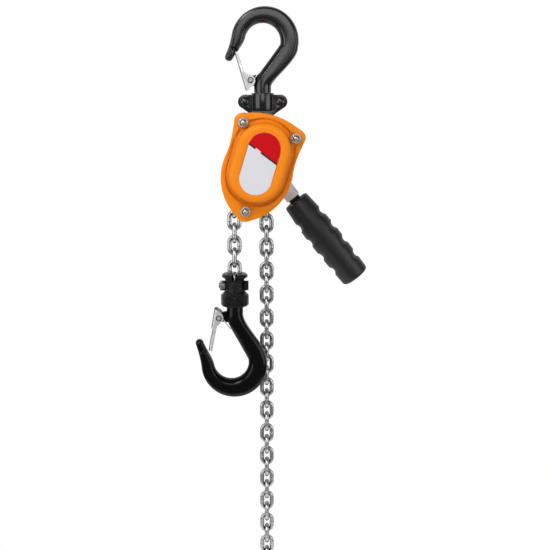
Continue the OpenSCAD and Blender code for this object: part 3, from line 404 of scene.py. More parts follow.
class FinishShop:
    """Builds and keeps one material for each finish."""

    dust_color: Rgb = (0.55, 0.53, 0.5)
    rim_shade_color: Rgb = (0.04, 0.04, 0.042)
    rim_span = (0.3, 0.8)
    grain_span = (0.3, 0.7)

    def __init__(self) -> None:
        """Builds the shared effects."""
        self.groups = NodeGroups()
        self.made: dict[str, bpy.types.Material] = {}

    def dress(self, obj: bpy.types.Object, finish: Finish) -> None:
        """Gives a piece the material of a finish, built on first use.

        Args:
            obj: The piece.
            finish: The finish.
        """
        if finish.name not in self.made:
            self.made[finish.name] = self._build(finish)
        obj.data.materials.clear()
        obj.data.materials.append(self.made[finish.name])

    def _build(self, finish: Finish) -> bpy.types.Material:
        """Builds the material of a finish.

        Args:
            finish: The finish.

        Returns:
            The material.
        """
        material = bpy.data.materials.new(finish.name)
        wiring, groups = Wiring.of(material), self.groups
        grain = wiring.add("Group", node_tree=groups.grain)
        wiring.fill(grain, {"Scale": 1.0 / (finish.grain_mm * MM), "Height": finish.bump_mm * MM})
        wear = wiring.add("Group", {"Amount": finish.wear}, node_tree=groups.edge_wear)
        dust = wiring.add("Group", {"Amount": finish.dust}, node_tree=groups.dust)
        colour = wiring.blend(grain.outputs["Broad"], finish.color, finish.alt_color)
        colour = wiring.blend(wear.outputs["Mask"], colour, finish.wear_color)
        colour = wiring.blend(dust.outputs["Mask"], colour, self.dust_color)
        # Crevices and contacts found by ambient occlusion take painted shade, blended towards the crevice colour.
        if finish.crevice_shade:
            crevice_shade = wiring.add("Group", node_tree=groups.crevice)
            wiring.fill(crevice_shade, {"Amount": finish.crevice_shade, "Reach": finish.crevice_shade_mm * MM})
            colour = wiring.blend(crevice_shade.outputs["Mask"], colour, finish.crevice_shade_color)
        gloss: Socket | float = finish.specular
        # Faces turned away from the view get painted shade: metals blend towards a dark rim colour, other finishes
        # lose gloss.
        if finish.rim:
            facing = wiring.add("LayerWeight", {"Blend": 0.5}).outputs["Facing"]
            if finish.metallic:
                turned = wiring.remap(facing, self.rim_span, (0.0, finish.rim))
                colour = wiring.blend(turned, colour, self.rim_shade_color)
            else:
                gloss = wiring.remap(facing, self.rim_span, (gloss, gloss * (1 - finish.rim)))
        rough = (finish.roughness, finish.roughness + finish.rough_span)
        # A dark Specular Tint on metals paints shade into their grazing reflection.
        shader = wiring.add("BsdfPrincipled", {
            "Base Color": colour,
            "Metallic": finish.metallic,
            "Roughness": wiring.remap(grain.outputs["Fine"], self.grain_span, rough),
            "Specular IOR Level": gloss,
            "Specular Tint": (*finish.edge_shade_tint, 1.0),
            "Normal": grain.outputs["Normal"],
        })
        wiring.add("OutputMaterial", {"Surface": shader.outputs[0]})
        return material


SHOP = FinishShop()


# Places


def joint_at(name: str) -> Vector:
    """Place of a joint of the frame in millimetres."""
    return next(Vector(j["pos_m"]) / MM for j in frame["joints"] if j["name"] == name)


SHAFT = joint_at("lever_turn")
FRAME_LEAN = 16.8
LEVER_DROP = 51.6
IN_FRAME = Matrix.Translation(SHAFT) @ Matrix.Rotation(math.radians(FRAME_LEAN), 4, "Y")
IN_LEVER = Matrix.Translation(SHAFT) @ Matrix.Rotation(math.radians(LEVER_DROP), 4, "Y")
STAY_X, STAY_TOP, STAY_LOW = 25.5, 30.7, -48.2
STAYS: tuple[Point2, ...] = ((-STAY_X, STAY_TOP), (STAY_X, STAY_TOP), (0.0, STAY_LOW))


def along_y(x: float, y: float, z: float, sign: float = 1.0) -> Matrix:
    """Place whose Z axis points along Y, back for a sign of 1 and to the front for -1."""
    return Matrix.Translation((x, y, z)) @ Matrix.Rotation(math.radians(-90.0 * sign), 4, "X")


def smooth(t: float | np.ndarray) -> float | np.ndarray:
    """Smooth step of a share that is held between 0 and 1."""
    t = np.clip(t, 0.0, 1.0)
    return t * t * (3 - 2 * t)


def bezier(guides: Sequence[Sequence[float]], t: float) -> np.ndarray:
    """Point on a cubic curve with four guide points, at a share of the way."""
    s = 1 - t
    return np.array([s**3, 3 * t * s**2, 3 * t**2 * s, t**3]) @ np.array(guides, float)


def polar(r: float, degrees: float) -> np.ndarray:
    """Point at a radius and an angle."""
    a = math.radians(degrees)
    return np.array([r * math.cos(a), r * math.sin(a)])


def arc(first: float, last: float, steps: int) -> np.ndarray:
    """Points of an arc of radius 1 between two angles in degrees."""
    turn = np.radians(np.linspace(first, last, steps))
    return np.stack([np.cos(turn), np.sin(turn)], 1)


def circle(steps: int) -> np.ndarray:
    """Points of a circle of radius 1."""
    return arc(0, 360, steps + 1)[:-1]


def stadium(half: float, steps: int, legs: tuple[int, int]) -> tuple[np.ndarray, np.ndarray]:
    """Rays out from a straight spine along Z, over a half turn at each end and two legs.

    Args:
        half: Half length of the spine.
        steps: Rays of each half turn.
        legs: Points along the left and the right leg, with the two that the half turns have.

    Returns:
        Starts of the rays on the spine and their directions.
    """
    starts, ways = [], []
    for side, count in zip((1, -1), legs):
        end = side * half
        leg = np.linspace(end, -end, count)[1:-1]
        starts += [(0.0, end)] * steps + [(0.0, z) for z in leg]
        ways += [*arc(90 - 90 * side, 270 - 90 * side, steps), *[(-side, 0.0)] * len(leg)]
    return np.array(starts), np.array(ways)


def standing(xz: np.ndarray, y: float | np.ndarray) -> np.ndarray:
    """Points in space from rows of (x, z) and their depth."""
    return np.column_stack([xz[:, 0], np.broadcast_to(y, len(xz)), xz[:, 1]])


# Meshes


def put(name: str, data: bpy.types.ID) -> bpy.types.Object:
    """Puts an object into the scene.

    Args:
        name: Name of the object.
        data: Its mesh, light or camera.

    Returns:
        The object.
    """
    obj = bpy.data.objects.new(name, data)
    bpy.context.scene.collection.objects.link(obj)
    return obj


@dataclass
class Shape:
    """Points and faces gathered in millimetres."""

    points: list[np.ndarray] = field(default_factory=list)
    faces: list[tuple[int, ...]] = field(default_factory=list)

    def loft(self, rings: Sequence, place: Matrix | None = None, caps: tuple[bool, bool] = (True, True),
             loop: bool = False) -> Shape:
        """Joins closed rings of equal length by quads.

        Args:
            rings: Rings of points.
            place: Where the points go.
            caps: Whether the first and the last ring are filled.
            loop: Whether the last ring joins the first, without caps.

        Returns:
            The shape.
        """
        block = np.concatenate([np.asarray(ring, float) for ring in rings])
        count, first = len(rings[0]), sum(map(len, self.points))
        index = np.arange(first, first + len(block)).reshape(-1, count)
        for low, high in zip(index, np.roll(index, -1, 0) if loop else index[1:]):
            quads = np.stack([low, np.roll(low, -1), np.roll(high, -1), high], 1)
            self.faces.extend(map(tuple, quads.tolist()))
        if caps[0] and not loop:
            self.faces.append(tuple(index[0][::-1].tolist()))
        if caps[1] and not loop:
            self.faces.append(tuple(index[-1].tolist()))
        if place is not None:
            turn = np.array(place)
            block = block @ turn[:3, :3].T + turn[:3, 3]
        self.points.append(block)
        return self

    def lathe(self, profile: Sequence[Point2], steps: int, place: Matrix,
              caps: tuple[bool, bool] = (True, True)) -> Shape:
        """Turns a profile of (radius, height) about Z."""
        rings = [np.column_stack([circle(steps) * r, np.full(steps, h)]) for r, h in profile]
        return self.loft(rings, place, caps)

    def mesh(self, name: str) -> bpy.types.Mesh:
        """Makes the mesh, with its faces turned outwards.

        Args:
            name: Name of the mesh.

        Returns:
            The mesh.
        """
        mesh = bpy.data.meshes.new(name)
        mesh.from_pydata((np.concatenate(self.points) * MM).tolist(), [], self.faces)
        work = bmesh.new()
        work.from_mesh(mesh)
        bmesh.ops.recalc_face_normals(work, faces=work.faces)
        work.to_mesh(mesh)
        work.free()
        return mesh

    def build(self, name: str, body: Body, finish: Finish, stands_for: Sequence[str] = (),
              sharp: float = 40.0) -> None:
        """Makes the piece, and seats and dresses it."""
        seat(put(name, self.mesh(name)), body, finish, stands_for, sharp)


def seat(obj: bpy.types.Object, body: Body, finish: Finish, stands_for: Sequence[str], sharp: float) -> None:
    """Shades, dresses and seats a piece.

    Args:
        obj: The piece.
        body: Body that carries it.
        finish: Its finish.
        stands_for: Nodes that it replaces.
        sharp: Angle above which an edge stays sharp, in degrees.
    """
    obj.data.polygons.foreach_set("use_smooth", [True] * len(obj.data.polygons))
    obj.data.set_sharp_from_angle(angle=math.radians(sharp))
    SHOP.dress(obj, finish)
    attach(obj, body.value)
    if stands_for:
        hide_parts(*stands_for)


def welded(mesh: bpy.types.Mesh) -> bmesh.types.BMesh:
    """Opens a mesh for work, with the points that its faces share joined.

    Args:
        mesh: The mesh.

    Returns:
        The open mesh.
    """
    work = bmesh.new()
    work.from_mesh(mesh)
    bmesh.ops.remove_doubles(work, verts=work.verts, dist=WELD_GAP * MM)
    return work


@dataclass
class SoftCopy:
    """A copy of a solid with its sharp edges rounded.

    Args:
        node: Node that the copy stands for.
        body: Body that carries it.
        finish: Its finish.
        width: Width of the rounding.
        grow: How far the skin is moved out.
    """

    node: str
    body: Body
    finish: Finish
    width: float
    grow: float = 0.0
    segments: int = 2
    flat_angle: float = 0.6
    round_angle: float = 35.0
    shade_angle: float = 30.0

    def build(self) -> None:
        """Builds and dresses the copy."""
        mesh = frame["nodes"][self.node].data.copy()
        work = welded(mesh)
        flat = math.radians(self.flat_angle)
        bmesh.ops.dissolve_limit(work, angle_limit=flat, verts=work.verts, edges=work.edges)
        edges = [e for e in work.edges if len(e.link_faces) == 2
                 and e.calc_face_angle(0.0) > math.radians(self.round_angle)]
        bmesh.ops.bevel(work, geom=edges, offset=self.width * MM, segments=self.segments, profile=0.5,
                        affect="EDGES", clamp_overlap=True)
        if self.grow:
            work.normal_update()
            for vert in work.verts:
                vert.co += vert.normal * self.grow * MM
        work.to_mesh(mesh)
        work.free()
        if mesh.has_custom_normals:
            mesh.attributes.remove(mesh.attributes["custom_normal"])
        seat(put(self.node + "_soft", mesh), self.body, self.finish, (self.node,), self.shade_angle)


# Sub-assemblies


@dataclass
class Latch:
    """A safety latch folded from sheet, drawn along its tongue from the rivet, with the rivet.

    Args:
        lean: Lean of the tongue in degrees.
        inner: Inner edge of the sheet along the tongue.
        outer: Outer edge of the sheet along the tongue.
        half: Half width along the tongue.
    """

    lean: float
    inner: tuple[Point2, ...]
    outer: tuple[Point2, ...]
    half: tuple[Point2, ...]
    sheet: float = 1.0
    fold: Point2 = (5.0, 2.0)
    fold_room: Point2 = (0.8, 0.4)
    fold_ease: Point2 = (0.5, 0.4)
    fold_steps: int = 9
    steps: int = 90
    ease: int = 5
    sides: int = 40
    washer: tuple[Point2, ...] = ((1.6, 0.02), (1.6, 0.2), (2.7, 0.2), (2.9, 0.02))
    rivet: tuple[Point2, ...] = ((0.02, 0.55), (0.8, 0.6), (1.15, 0.3), (1.4, 0.85), (1.8, 0.75),
                                 (2.0, 0.45), (2.0, 0.12), (1.5, 0.1))

    def section(self, inner: float, outer: float, half: float) -> list[Point2]:
        """Folded section of the sheet.

        Args:
            inner: Inner edge.
            outer: Outer edge.
            half: Half width.

        Returns:
            Points of the section as (depth, height).
        """
        skin = []
        for shrink in (0.0, self.sheet):
            wall, top = half - shrink, outer - shrink
            deep = min(self.fold[0], half - self.fold_room[0]) - self.fold_ease[0] * shrink
            tall = min(self.fold[1], outer - inner - self.fold_room[1]) - self.fold_ease[1] * shrink
            bend = arc(0, 90, self.fold_steps)
            right = [(wall, inner)] + [(wall - deep + deep * y, top - tall + tall * z) for y, z in bend]
            skin.append(right + [(-y, z) for y, z in reversed(right)])
        return skin[0] + skin[1][::-1]

    def build(self, side: Side, at: Matrix) -> None:
        """Builds and dresses the latch, its washer and its rivet.

        Args:
            side: Hook that carries it.
            at: Place of the rivet.
        """
        name, hook = side.value + "_latch", Body(side.value + "_hook")
        along = np.linspace(self.inner[0][0], self.inner[-1][0], self.steps)
        inner, outer, half = (np.interp(along, *zip(*edge)) for edge in (self.inner, self.outer, self.half))
        ends = self.ease // 2
        inner[ends:-ends] = np.convolve(inner, np.full(self.ease, 1 / self.ease), "valid")
        rings = [[(x, y, z) for y, z in self.section(*edges)] for x, *edges in zip(along, inner, outer, half)]
        sheet = Shape().loft(rings, at @ Matrix.Rotation(math.radians(-self.lean), 4, "Y"))
        sheet.build(name + "_fine", Body(name), Finishes.latch, (name,), sharp=34)
        washer, head = ([(r, self.half[0][1] + h) for r, h in part] for part in (self.washer, self.rivet))
        front = Shape().lathe(washer, self.sides, at @ along_y(0, 0, 0, -1))
        front.build(name + "_washer", hook, Finishes.forged, sharp=30)
        rivet = head + [(r, -h) for r, h in reversed(head)]
        pin = Shape().lathe(rivet, self.sides, at @ along_y(0, 0, 0))
        pin.build(name + "_rivet_fine", hook, Finishes.latch, (name + "_rivet",), sharp=30)


class Section(NamedTuple):
    """One section of a hook: its edges as (x, z), half thickness, and squareness from 0 to 1."""

    inner: np.ndarray
    outer: np.ndarray
    depth: float
    square: float


@dataclass
class Hook:
    """A forged swivel hook, drawn with its bowl's centre at the origin and its shank down.

    Args:
        side: Which hook it is.
        finish: Its finish.
        bowl: Radius of the bowl.
        reach: Outer reach to the right, to the left and on the far side.
        foot: Lower end of the shank.
        inner: Guide points of the stem's inner edge.
        outer: Guide points of the stem's outer edge.
        tip: Centre of the tip.
        tip_r: Radius of the tip.
        latch: Its latch.
        bevel_at: Where the outer bevel starts, as a share of the half width.
        lip_y: Depth from which a lip stands behind the tongue, 0 for none.
    """

    side: Side
    finish: Finish
    bowl: float
    reach: tuple[float, float, float]
    foot: float
    inner: tuple[Point2, Point2]
    outer: tuple[Point2, Point2]
    tip: Point2
    tip_r: float
    latch: Latch
    bevel_at: float = 0.72
    lip_y: float = 0.0
    depth: float = 7.2
    shank_r: float = 8.0
    neck_rise: float = 6.0
    stem_angle: float = -10.0
    stem_square: float = 0.4
    arm_angle: float = 168.0
    tip_square: float = 0.45
    tip_turns: tuple[int, ...] = (15, 30, 45, 60, 72, 82, 88)
    tip_thick: float = 1.0
    neck_steps: int = 4
    stem_steps: int = 26
    bowl_steps: int = 60
    corner_cut: float = 0.15
    corner_rounds: int = 2
    seat_gap: float = 0.6
    seat_rise: float = 1.2
    seat_run: float = 0.9
    lip_wall: float = 1.6
    lip_end: float = 0.94
    lip_steps: int = 56
    lip_share: float = 0.7
    lip_room: Point2 = (1.0, 0.6)
    lip_rise: Point2 = (0.4, 1.6)
    collar_r: float = 7.5
    collar_h: float = 5.0
    collar_drop: float = 9.2
    collar_edge: float = 0.5
    collar_sides: int = 48
    neck_r: float = 4.5
    neck_ends: Point2 = (0.2, 1.0)
    lug_r: float = 4.4
    lug_turn: tuple[float, float, int] = (70, 275, 22)
    lug_root: tuple[Point2, Point2] = ((-3.0, -3.0), (-2.0, 1.0))
    lug_skin: tuple[Point2, ...] = ((2.5, 0.9), (2.2, 0.98), (1.8, 1.0))
    place: Matrix = field(init=False)
    pivot: np.ndarray = field(init=False)
    shank_x: float = field(init=False)

    def __post_init__(self) -> None:
        """Takes the hook's place, its latch pivot and its shank from the frame."""
        name = self.side.value
        bowl = next(m for m in frame["record"]["mounts"] if m["name"] == name + "_hook_seat")
        turn = Matrix.Diagonal((1, 1, bowl["axis"][2], 1))
        self.place = Matrix.Translation(Vector(bowl["pos_m"]) / MM) @ turn
        inward = self.place.inverted()
        self.pivot = np.array((inward @ joint_at(name + "_latch_pivot")).xz)
        self.shank_x = (inward @ joint_at(name + "_swivel")).x

    @property
    def out_r(self) -> float:
        """Radius of the bowl's outer circle."""
        return (self.reach[0] + self.reach[1]) / 2

    @property
    def out_centre(self) -> np.ndarray:
        """Centre of the bowl's outer circle."""
        return np.array([(self.reach[0] - self.reach[1]) / 2, self.reach[2] - self.out_r])

    def outer_at(self, degrees: float) -> np.ndarray:
        """Point of the outer circle on a ray from the bowl's centre.

        Args:
            degrees: Direction of the ray.

        Returns:
            The point as (x, z).
        """
        way, centre = polar(1, degrees), self.out_centre
        along = float(centre @ way)
        return way * (along + math.sqrt(along**2 - float(centre @ centre) + self.out_r**2))

    def outline(self) -> np.ndarray:
        """Section of the bowl, with flat faces, a bevelled inner edge and a rounded outer edge.

        Returns:
            Points of the section as (across, thickness), both from -1 to 1.
        """
        # Corners of the upper half, which is then mirrored and eased
        half = [(-1, 0.34), (-0.6, 0.94), (0.05, 1.0), (self.bevel_at, 0.955), (0.92, 0.66), (1.0, 0.25)]
        points = np.array(half + [(u, -v) for u, v in reversed(half)], float)
        for _ in range(self.corner_rounds):
            step = (np.roll(points, -1, 0) - points) * self.corner_cut
            points = np.stack([points + step, np.roll(points, -1, 0) - step], 1).reshape(-1, 2)
        return points / np.abs(points).max(0)

    def stand_back(self, inner: np.ndarray, outer: np.ndarray) -> tuple[np.ndarray, float]:
        """Moves the inner edge of the arm back to seat the latch's tongue.

        Args:
            inner: Inner edge.
            outer: Outer edge.

        Returns:
            The new inner edge, and how far the step has gone from 0 to 1.
        """
        end, high = self.latch.outer[-1]
        away = inner - self.pivot
        short = math.hypot(end, high) + self.seat_rise - float(np.linalg.norm(away))
        step = float(smooth(short / self.seat_run))
        way = (outer - inner) / np.linalg.norm(outer - inner)
        normal = polar(1, self.latch.lean + 90)
        back = max(0.0, (high + self.seat_gap - float(away @ normal)) / float(way @ normal))
        return inner + way * back * step, step

    def stem_sections(self) -> list[Section]:
        """Sections of the shank, the stem and the bowl.

        Returns:
            The sections, from the foot up.
        """
        neck, start = self.foot + self.neck_rise, self.stem_angle
        left, right = self.shank_x - self.shank_r, self.shank_x + self.shank_r
        made = [Section(np.array([left, z]), np.array([right, z]), self.shank_r, 0.0)
                for z in np.linspace(self.foot, neck, self.neck_steps)[:-1]]
        stem_in = [(left, neck), self.inner[1], self.inner[0], polar(self.bowl, start)]
        stem_out = [(right, neck), self.outer[1], self.outer[0], self.outer_at(start)]
        for t in np.linspace(0, 1, self.stem_steps)[:-1]:
            depth = self.shank_r + (self.depth - self.shank_r) * t
            square = smooth(t / self.stem_square)
            made.append(Section(bezier(stem_in, t), bezier(stem_out, t), depth, square))
        for a in np.linspace(start, self.arm_angle, self.bowl_steps)[:-1]:
            made.append(Section(polar(self.bowl, a), self.outer_at(a), self.depth, 1.0))
        return made

    def arm_guides(self) -> tuple[list[np.ndarray], list[np.ndarray], np.ndarray, np.ndarray]:
        """Guide points of the arm before it stands back for the latch.

        Returns:
            Guides of the inner edge and of the outer edge, the arm's direction and its side at the tip.
        """
        starts = polar(self.bowl, self.arm_angle), self.outer_at(self.arm_angle)
        run = np.array(self.tip) - (starts[0] + starts[1]) / 2
        far = float(np.linalg.norm(run)) / 3
        way = run / np.linalg.norm(run)
        side = np.array([way[1], -way[0]]) * self.tip_r
        guides = []
        centres, ends = (np.zeros(2), self.out_centre), (self.tip - side, self.tip + side)
        for start, centre, end in zip(starts, centres, ends):
            out = (start - centre) / np.linalg.norm(start - centre)
            guides.append([start, start + np.array([-out[1], out[0]]) * far, end - way * far, end])
        return guides[0], guides[1], way, side

    def arm_sections(self) -> list[Section]:
        """Sections of the arm and its round tip.

        Returns:
            The sections, from the bowl to the tip.
        """
        arm_in, arm_out, way, side = self.arm_guides()
        thin = self.tip_r + self.tip_thick
        made = []
        for t in np.linspace(0, 1, self.bowl_steps):
            outer = bezier(arm_out, t)
            inner, step = self.stand_back(bezier(arm_in, t), outer)
            square = 1.0 - (1.0 - self.tip_square) * t
            made.append(Section(inner, outer, self.depth + (thin - self.depth) * step, square))
        for a in self.tip_turns:
            c, s = polar(1, a)
            middle = self.tip + way * self.tip_r * s
            made.append(Section(middle - side * c, middle + side * c, thin * c, self.tip_square))
        return made

    def build(self) -> None:
        """Builds and dresses the hook."""
        shape, outline = Shape(), self.outline()
        round_line = outline / np.linalg.norm(outline, axis=1, keepdims=True)
        rings = []
        for inner, outer, depth, square in self.stem_sections() + self.arm_sections():
            uv = round_line * (1 - square) + outline * square
            xz = (inner + outer) / 2 + uv[:, :1] * (outer - inner) / 2
            rings.append(standing(xz, uv[:, 1] * depth))
        shape.loft(rings, self.place)
        self.add_swivel(shape)
        self.add_lug(shape)
        if self.lip_y:
            self.add_lip(shape)
        name = self.side.value + "_hook"
        shape.build(name + "_fine", Body(name), self.finish, (name,), sharp=38)

    def build_latch(self) -> None:
        """Builds and dresses the latch."""
        self.latch.build(self.side, self.place @ Matrix.Translation((self.pivot[0], 0, self.pivot[1])))

    def add_lip(self, shape: Shape) -> None:
        """Adds the lip of the arm that stands behind the latch's tongue.

        Args:
            shape: Shape of the hook.
        """
        arm_in, arm_out, _, _ = self.arm_guides()
        rings = []
        for t in np.linspace(0, self.lip_end, self.lip_steps):
            full, outer = bezier(arm_in, t), bezier(arm_out, t)
            inner, step = self.stand_back(full, outer)
            if step <= 0:
                continue
            wide, back = (float(np.linalg.norm(edge - full)) for edge in (outer, inner))
            end = min(max(self.lip_share * wide, back + self.lip_room[0]), wide - self.lip_room[1])
            low = self.lip_y
            high = low + self.lip_rise[0] + self.lip_rise[1] * (1 - t)
            deep = low - self.lip_wall
            # Section of the lip as (across, depth), with its corners eased
            across = np.array([
                (0.1, low + 0.2), (0.4, low), (back, low), (back + 0.4, deep), (end, deep), (end, high - 0.7),
                (end - 0.6, high - 0.1), (0.9, high), (0.3, high - 0.2), (0.05, low + 0.5)])
            rings.append(standing(full + np.outer(across[:, 0], (outer - full) / wide), across[:, 1]))
        shape.loft(rings, self.place)

    def add_swivel(self, shape: Shape) -> None:
        """Adds the neck and the collar that turn in the yoke.

        Args:
            shape: Shape of the hook.
        """
        r, edge, low = self.collar_r, self.collar_edge, self.foot - self.collar_drop
        top = low + self.collar_h
        collar = [(r - edge, low), (r, low + edge), (r, top - edge), (r - edge, top)]
        neck = [(self.neck_r, top + self.neck_ends[0]), (self.neck_r, self.foot + self.neck_ends[1])]
        axis = self.place @ Matrix.Translation((self.shank_x, 0, 0))
        shape.lathe(collar + neck, self.collar_sides, axis)

    def add_lug(self, shape: Shape) -> None:
        """Adds the lug that carries the latch rivet.

        Args:
            shape: Shape of the hook.
        """
        r, across = self.lug_r, self.shank_x - self.pivot[0]
        root = [(across + x, z + side * r) for side, (x, z) in zip((-1, 1), self.lug_root)]
        loop = np.concatenate([r * arc(*self.lug_turn), root])
        layers = [(-y, s) for y, s in self.lug_skin] + list(reversed(self.lug_skin))
        shape.loft([standing(self.pivot + loop * s, y) for y, s in layers], self.place)


@dataclass
class PressedCover:
    """A pressed cover with a rolled rim, a crest, a groove and a raised oval.

    Args:
        name: Name of the piece.
        node: Node that it stands for.
        seat_y: Place of its seat on the side plate.
        sign: -1 to rise to the front, 1 to rise to the back.
        oval_h: Height of the oval.
        dish: Radius and depth of the seat in the oval's top, or none.
        crown: How far the rim stands up along the top.
    """

    name: str
    node: str
    seat_y: float
    sign: float
    oval_h: float
    dish: Point2 | None = None
    crown: float = 0.0
    crown_run: float = 30.0
    sheet_t: float = 2.0
    half_w: float = 33.3
    waist_at: Point2 = (131.5, 13.0)
    waist_r: float = 100.0
    belly_z: float = -10.0
    belly_r: float = 52.0
    boss_r: float = 10.0
    brow_r: float = 66.0
    search_from: float = 24.0
    search_step: float = 0.5
    halvings: int = 14
    end_rays: int = 91
    leg_rays: tuple[int, int] = (18, 18)
    oval_half: float = 12.0
    foot_r: float = 28.5
    top_r: float = 25.0
    round_r: float = 4.5
    round_rows: int = 8
    dish_round: float = 0.15
    plain_rows: Point2 = (13.5, 17.0)
    crest: float = 1.3
    crest_at: float = 2.4
    crest_w: float = 1.7
    pad_r: float = 5.2
    pad_run: float = 3.5
    rim: float = 2.6
    rim_lift: float = 0.3
    rim_turn: tuple[float, float, int] = (15, 90, 6)
    fall: float = 0.9
    fall_from: float = 0.25
    flange_rows: tuple[float, float, int] = (0.06, 1.0, 16)
    sleeve: tuple[Point2, ...] = ((10.0, -2.0), (10.0, 6.6), (10.4, 7.0), (12.6, 7.0), (13.0, 6.6),
                                  (13.0, 0.6), (13.6, 0.0))
    sleeve_sides: int = 72

    def inside(self, x: float, z: float) -> bool:
        """Whether a point lies inside the cover's outline.

        Args:
            x: Place across the frame.
            z: Place along the frame.

        Returns:
            True inside.
        """
        x, ear_r = abs(x), self.half_w - STAY_X
        if math.hypot(x - self.waist_at[0], z - self.waist_at[1]) < self.waist_r:
            return False
        brow_z = STAY_TOP + ear_r - math.sqrt(self.brow_r**2 - STAY_X**2)
        belly_x = self.belly_r - self.half_w
        return (
            x <= self.half_w and z <= 0 and math.hypot(x + belly_x, z - self.belly_z) <= self.belly_r
            or math.hypot(x, z - STAY_LOW) <= self.boss_r
            or x <= self.half_w and 0 <= z <= STAY_TOP
            or math.hypot(x - STAY_X, z - STAY_TOP) <= ear_r
            or x <= STAY_X and z >= 0 and math.hypot(x, z - brow_z) <= self.brow_r
        )

    def length(self, start: np.ndarray, way: np.ndarray) -> float:
        """Length of a ray to the outline.

        Args:
            start: Where the ray starts.
            way: Its direction.

        Returns:
            The length.
        """
        low = self.search_from
        while self.inside(*(start + way * (low + self.search_step))):
            low += self.search_step
        high = low + self.search_step
        for _ in range(self.halvings):
            half = (low + high) / 2
            low, high = (half, high) if self.inside(*(start + way * half)) else (low, half)
        return low + self.crown * smooth((start + way * low)[1] / self.crown_run)

    def rays(self) -> tuple[np.ndarray, np.ndarray, np.ndarray]:
        """Starts, directions and lengths of the rays from the oval's spine to the outline."""
        starts, ways = stadium(self.oval_half, self.end_rays, self.leg_rays)
        return starts, ways, np.array([self.length(start, way) for start, way in zip(starts, ways)])

    def flange(self, points: np.ndarray, share: float, r: np.ndarray) -> np.ndarray:
        """Height of the flange along a row.

        Args:
            points: Points of the row.
            share: Share of the way from the oval's foot to the outline.
            r: Distances from the oval's spine.

        Returns:
            The heights above the flat flange.
        """
        near = np.min([np.hypot(*(points - stay).T) for stay in STAYS], 0)
        away = smooth((near - self.pad_r) / self.pad_run)
        ridge = np.exp(-(((r - self.foot_r - self.crest_at) / self.crest_w) ** 2))
        drop = smooth((share - self.fall_from) / (1 - self.fall_from))
        return away * (self.crest * ridge - self.fall * drop)

    def oval_rows(self) -> list[Point2]:
        """Rows of the oval.

        Returns:
            Distance from the spine and height of each row, from the top to the foot.
        """
        top, rise, d = self.oval_h, self.foot_r - self.top_r, self.dish_round
        rows = [(r, top) for r in self.plain_rows]
        if self.dish:
            r, low = self.dish[0], top - self.dish[1]
            rows = [(r / 2, low), (r, low), (r + d, low + d), (r + 2 * d, top - 0.8 * d), (r + 4 * d, top)]
        for c, s in arc(90, 0, self.round_rows):
            rows.append((self.top_r - self.round_r * (1 - c), top - self.round_r * (1 - s)))
        return rows + [(self.foot_r - rise * c, rise * (1 - s)) for c, s in arc(0, 90, self.round_rows)]

    def build(self) -> None:
        """Builds and dresses the cover."""
        starts, ways, lengths = self.rays()
        rows: list[tuple[Any, Any]] = list(self.oval_rows())
        for share in np.linspace(*self.flange_rows):
            r = self.foot_r + (lengths - self.rim - self.foot_r) * share
            rows.append((r, self.flange(starts + ways * r[:, None], share, r)))
        for c, s in arc(*self.rim_turn):
            r = lengths - self.rim + self.rim * s
            edge = self.flange(starts + ways * r[:, None], 1.0, r) + self.sheet_t
            rows.append((r, edge * c - self.sheet_t + self.rim_lift * (1 - c)))
        rows.append((lengths, -self.sheet_t))
        rings = []
        for r, h in rows:
            reach = np.broadcast_to(r, lengths.shape)[:, None]
            rings.append(standing(starts + ways * reach, self.seat_y + self.sign * (self.sheet_t + h)))
        shape = Shape().loft(rings, IN_FRAME, (self.dish is not None, False))
        if not self.dish:
            top = self.seat_y + self.sheet_t + self.oval_h
            sleeve = [(r, top + h) for r, h in self.sleeve]
            shape.lathe(sleeve, self.sleeve_sides, IN_FRAME @ along_y(0, 0, 0), (False, False))
        shape.build(self.name, Body.FRAME, Finishes.paint, (self.node,), sharp=60)


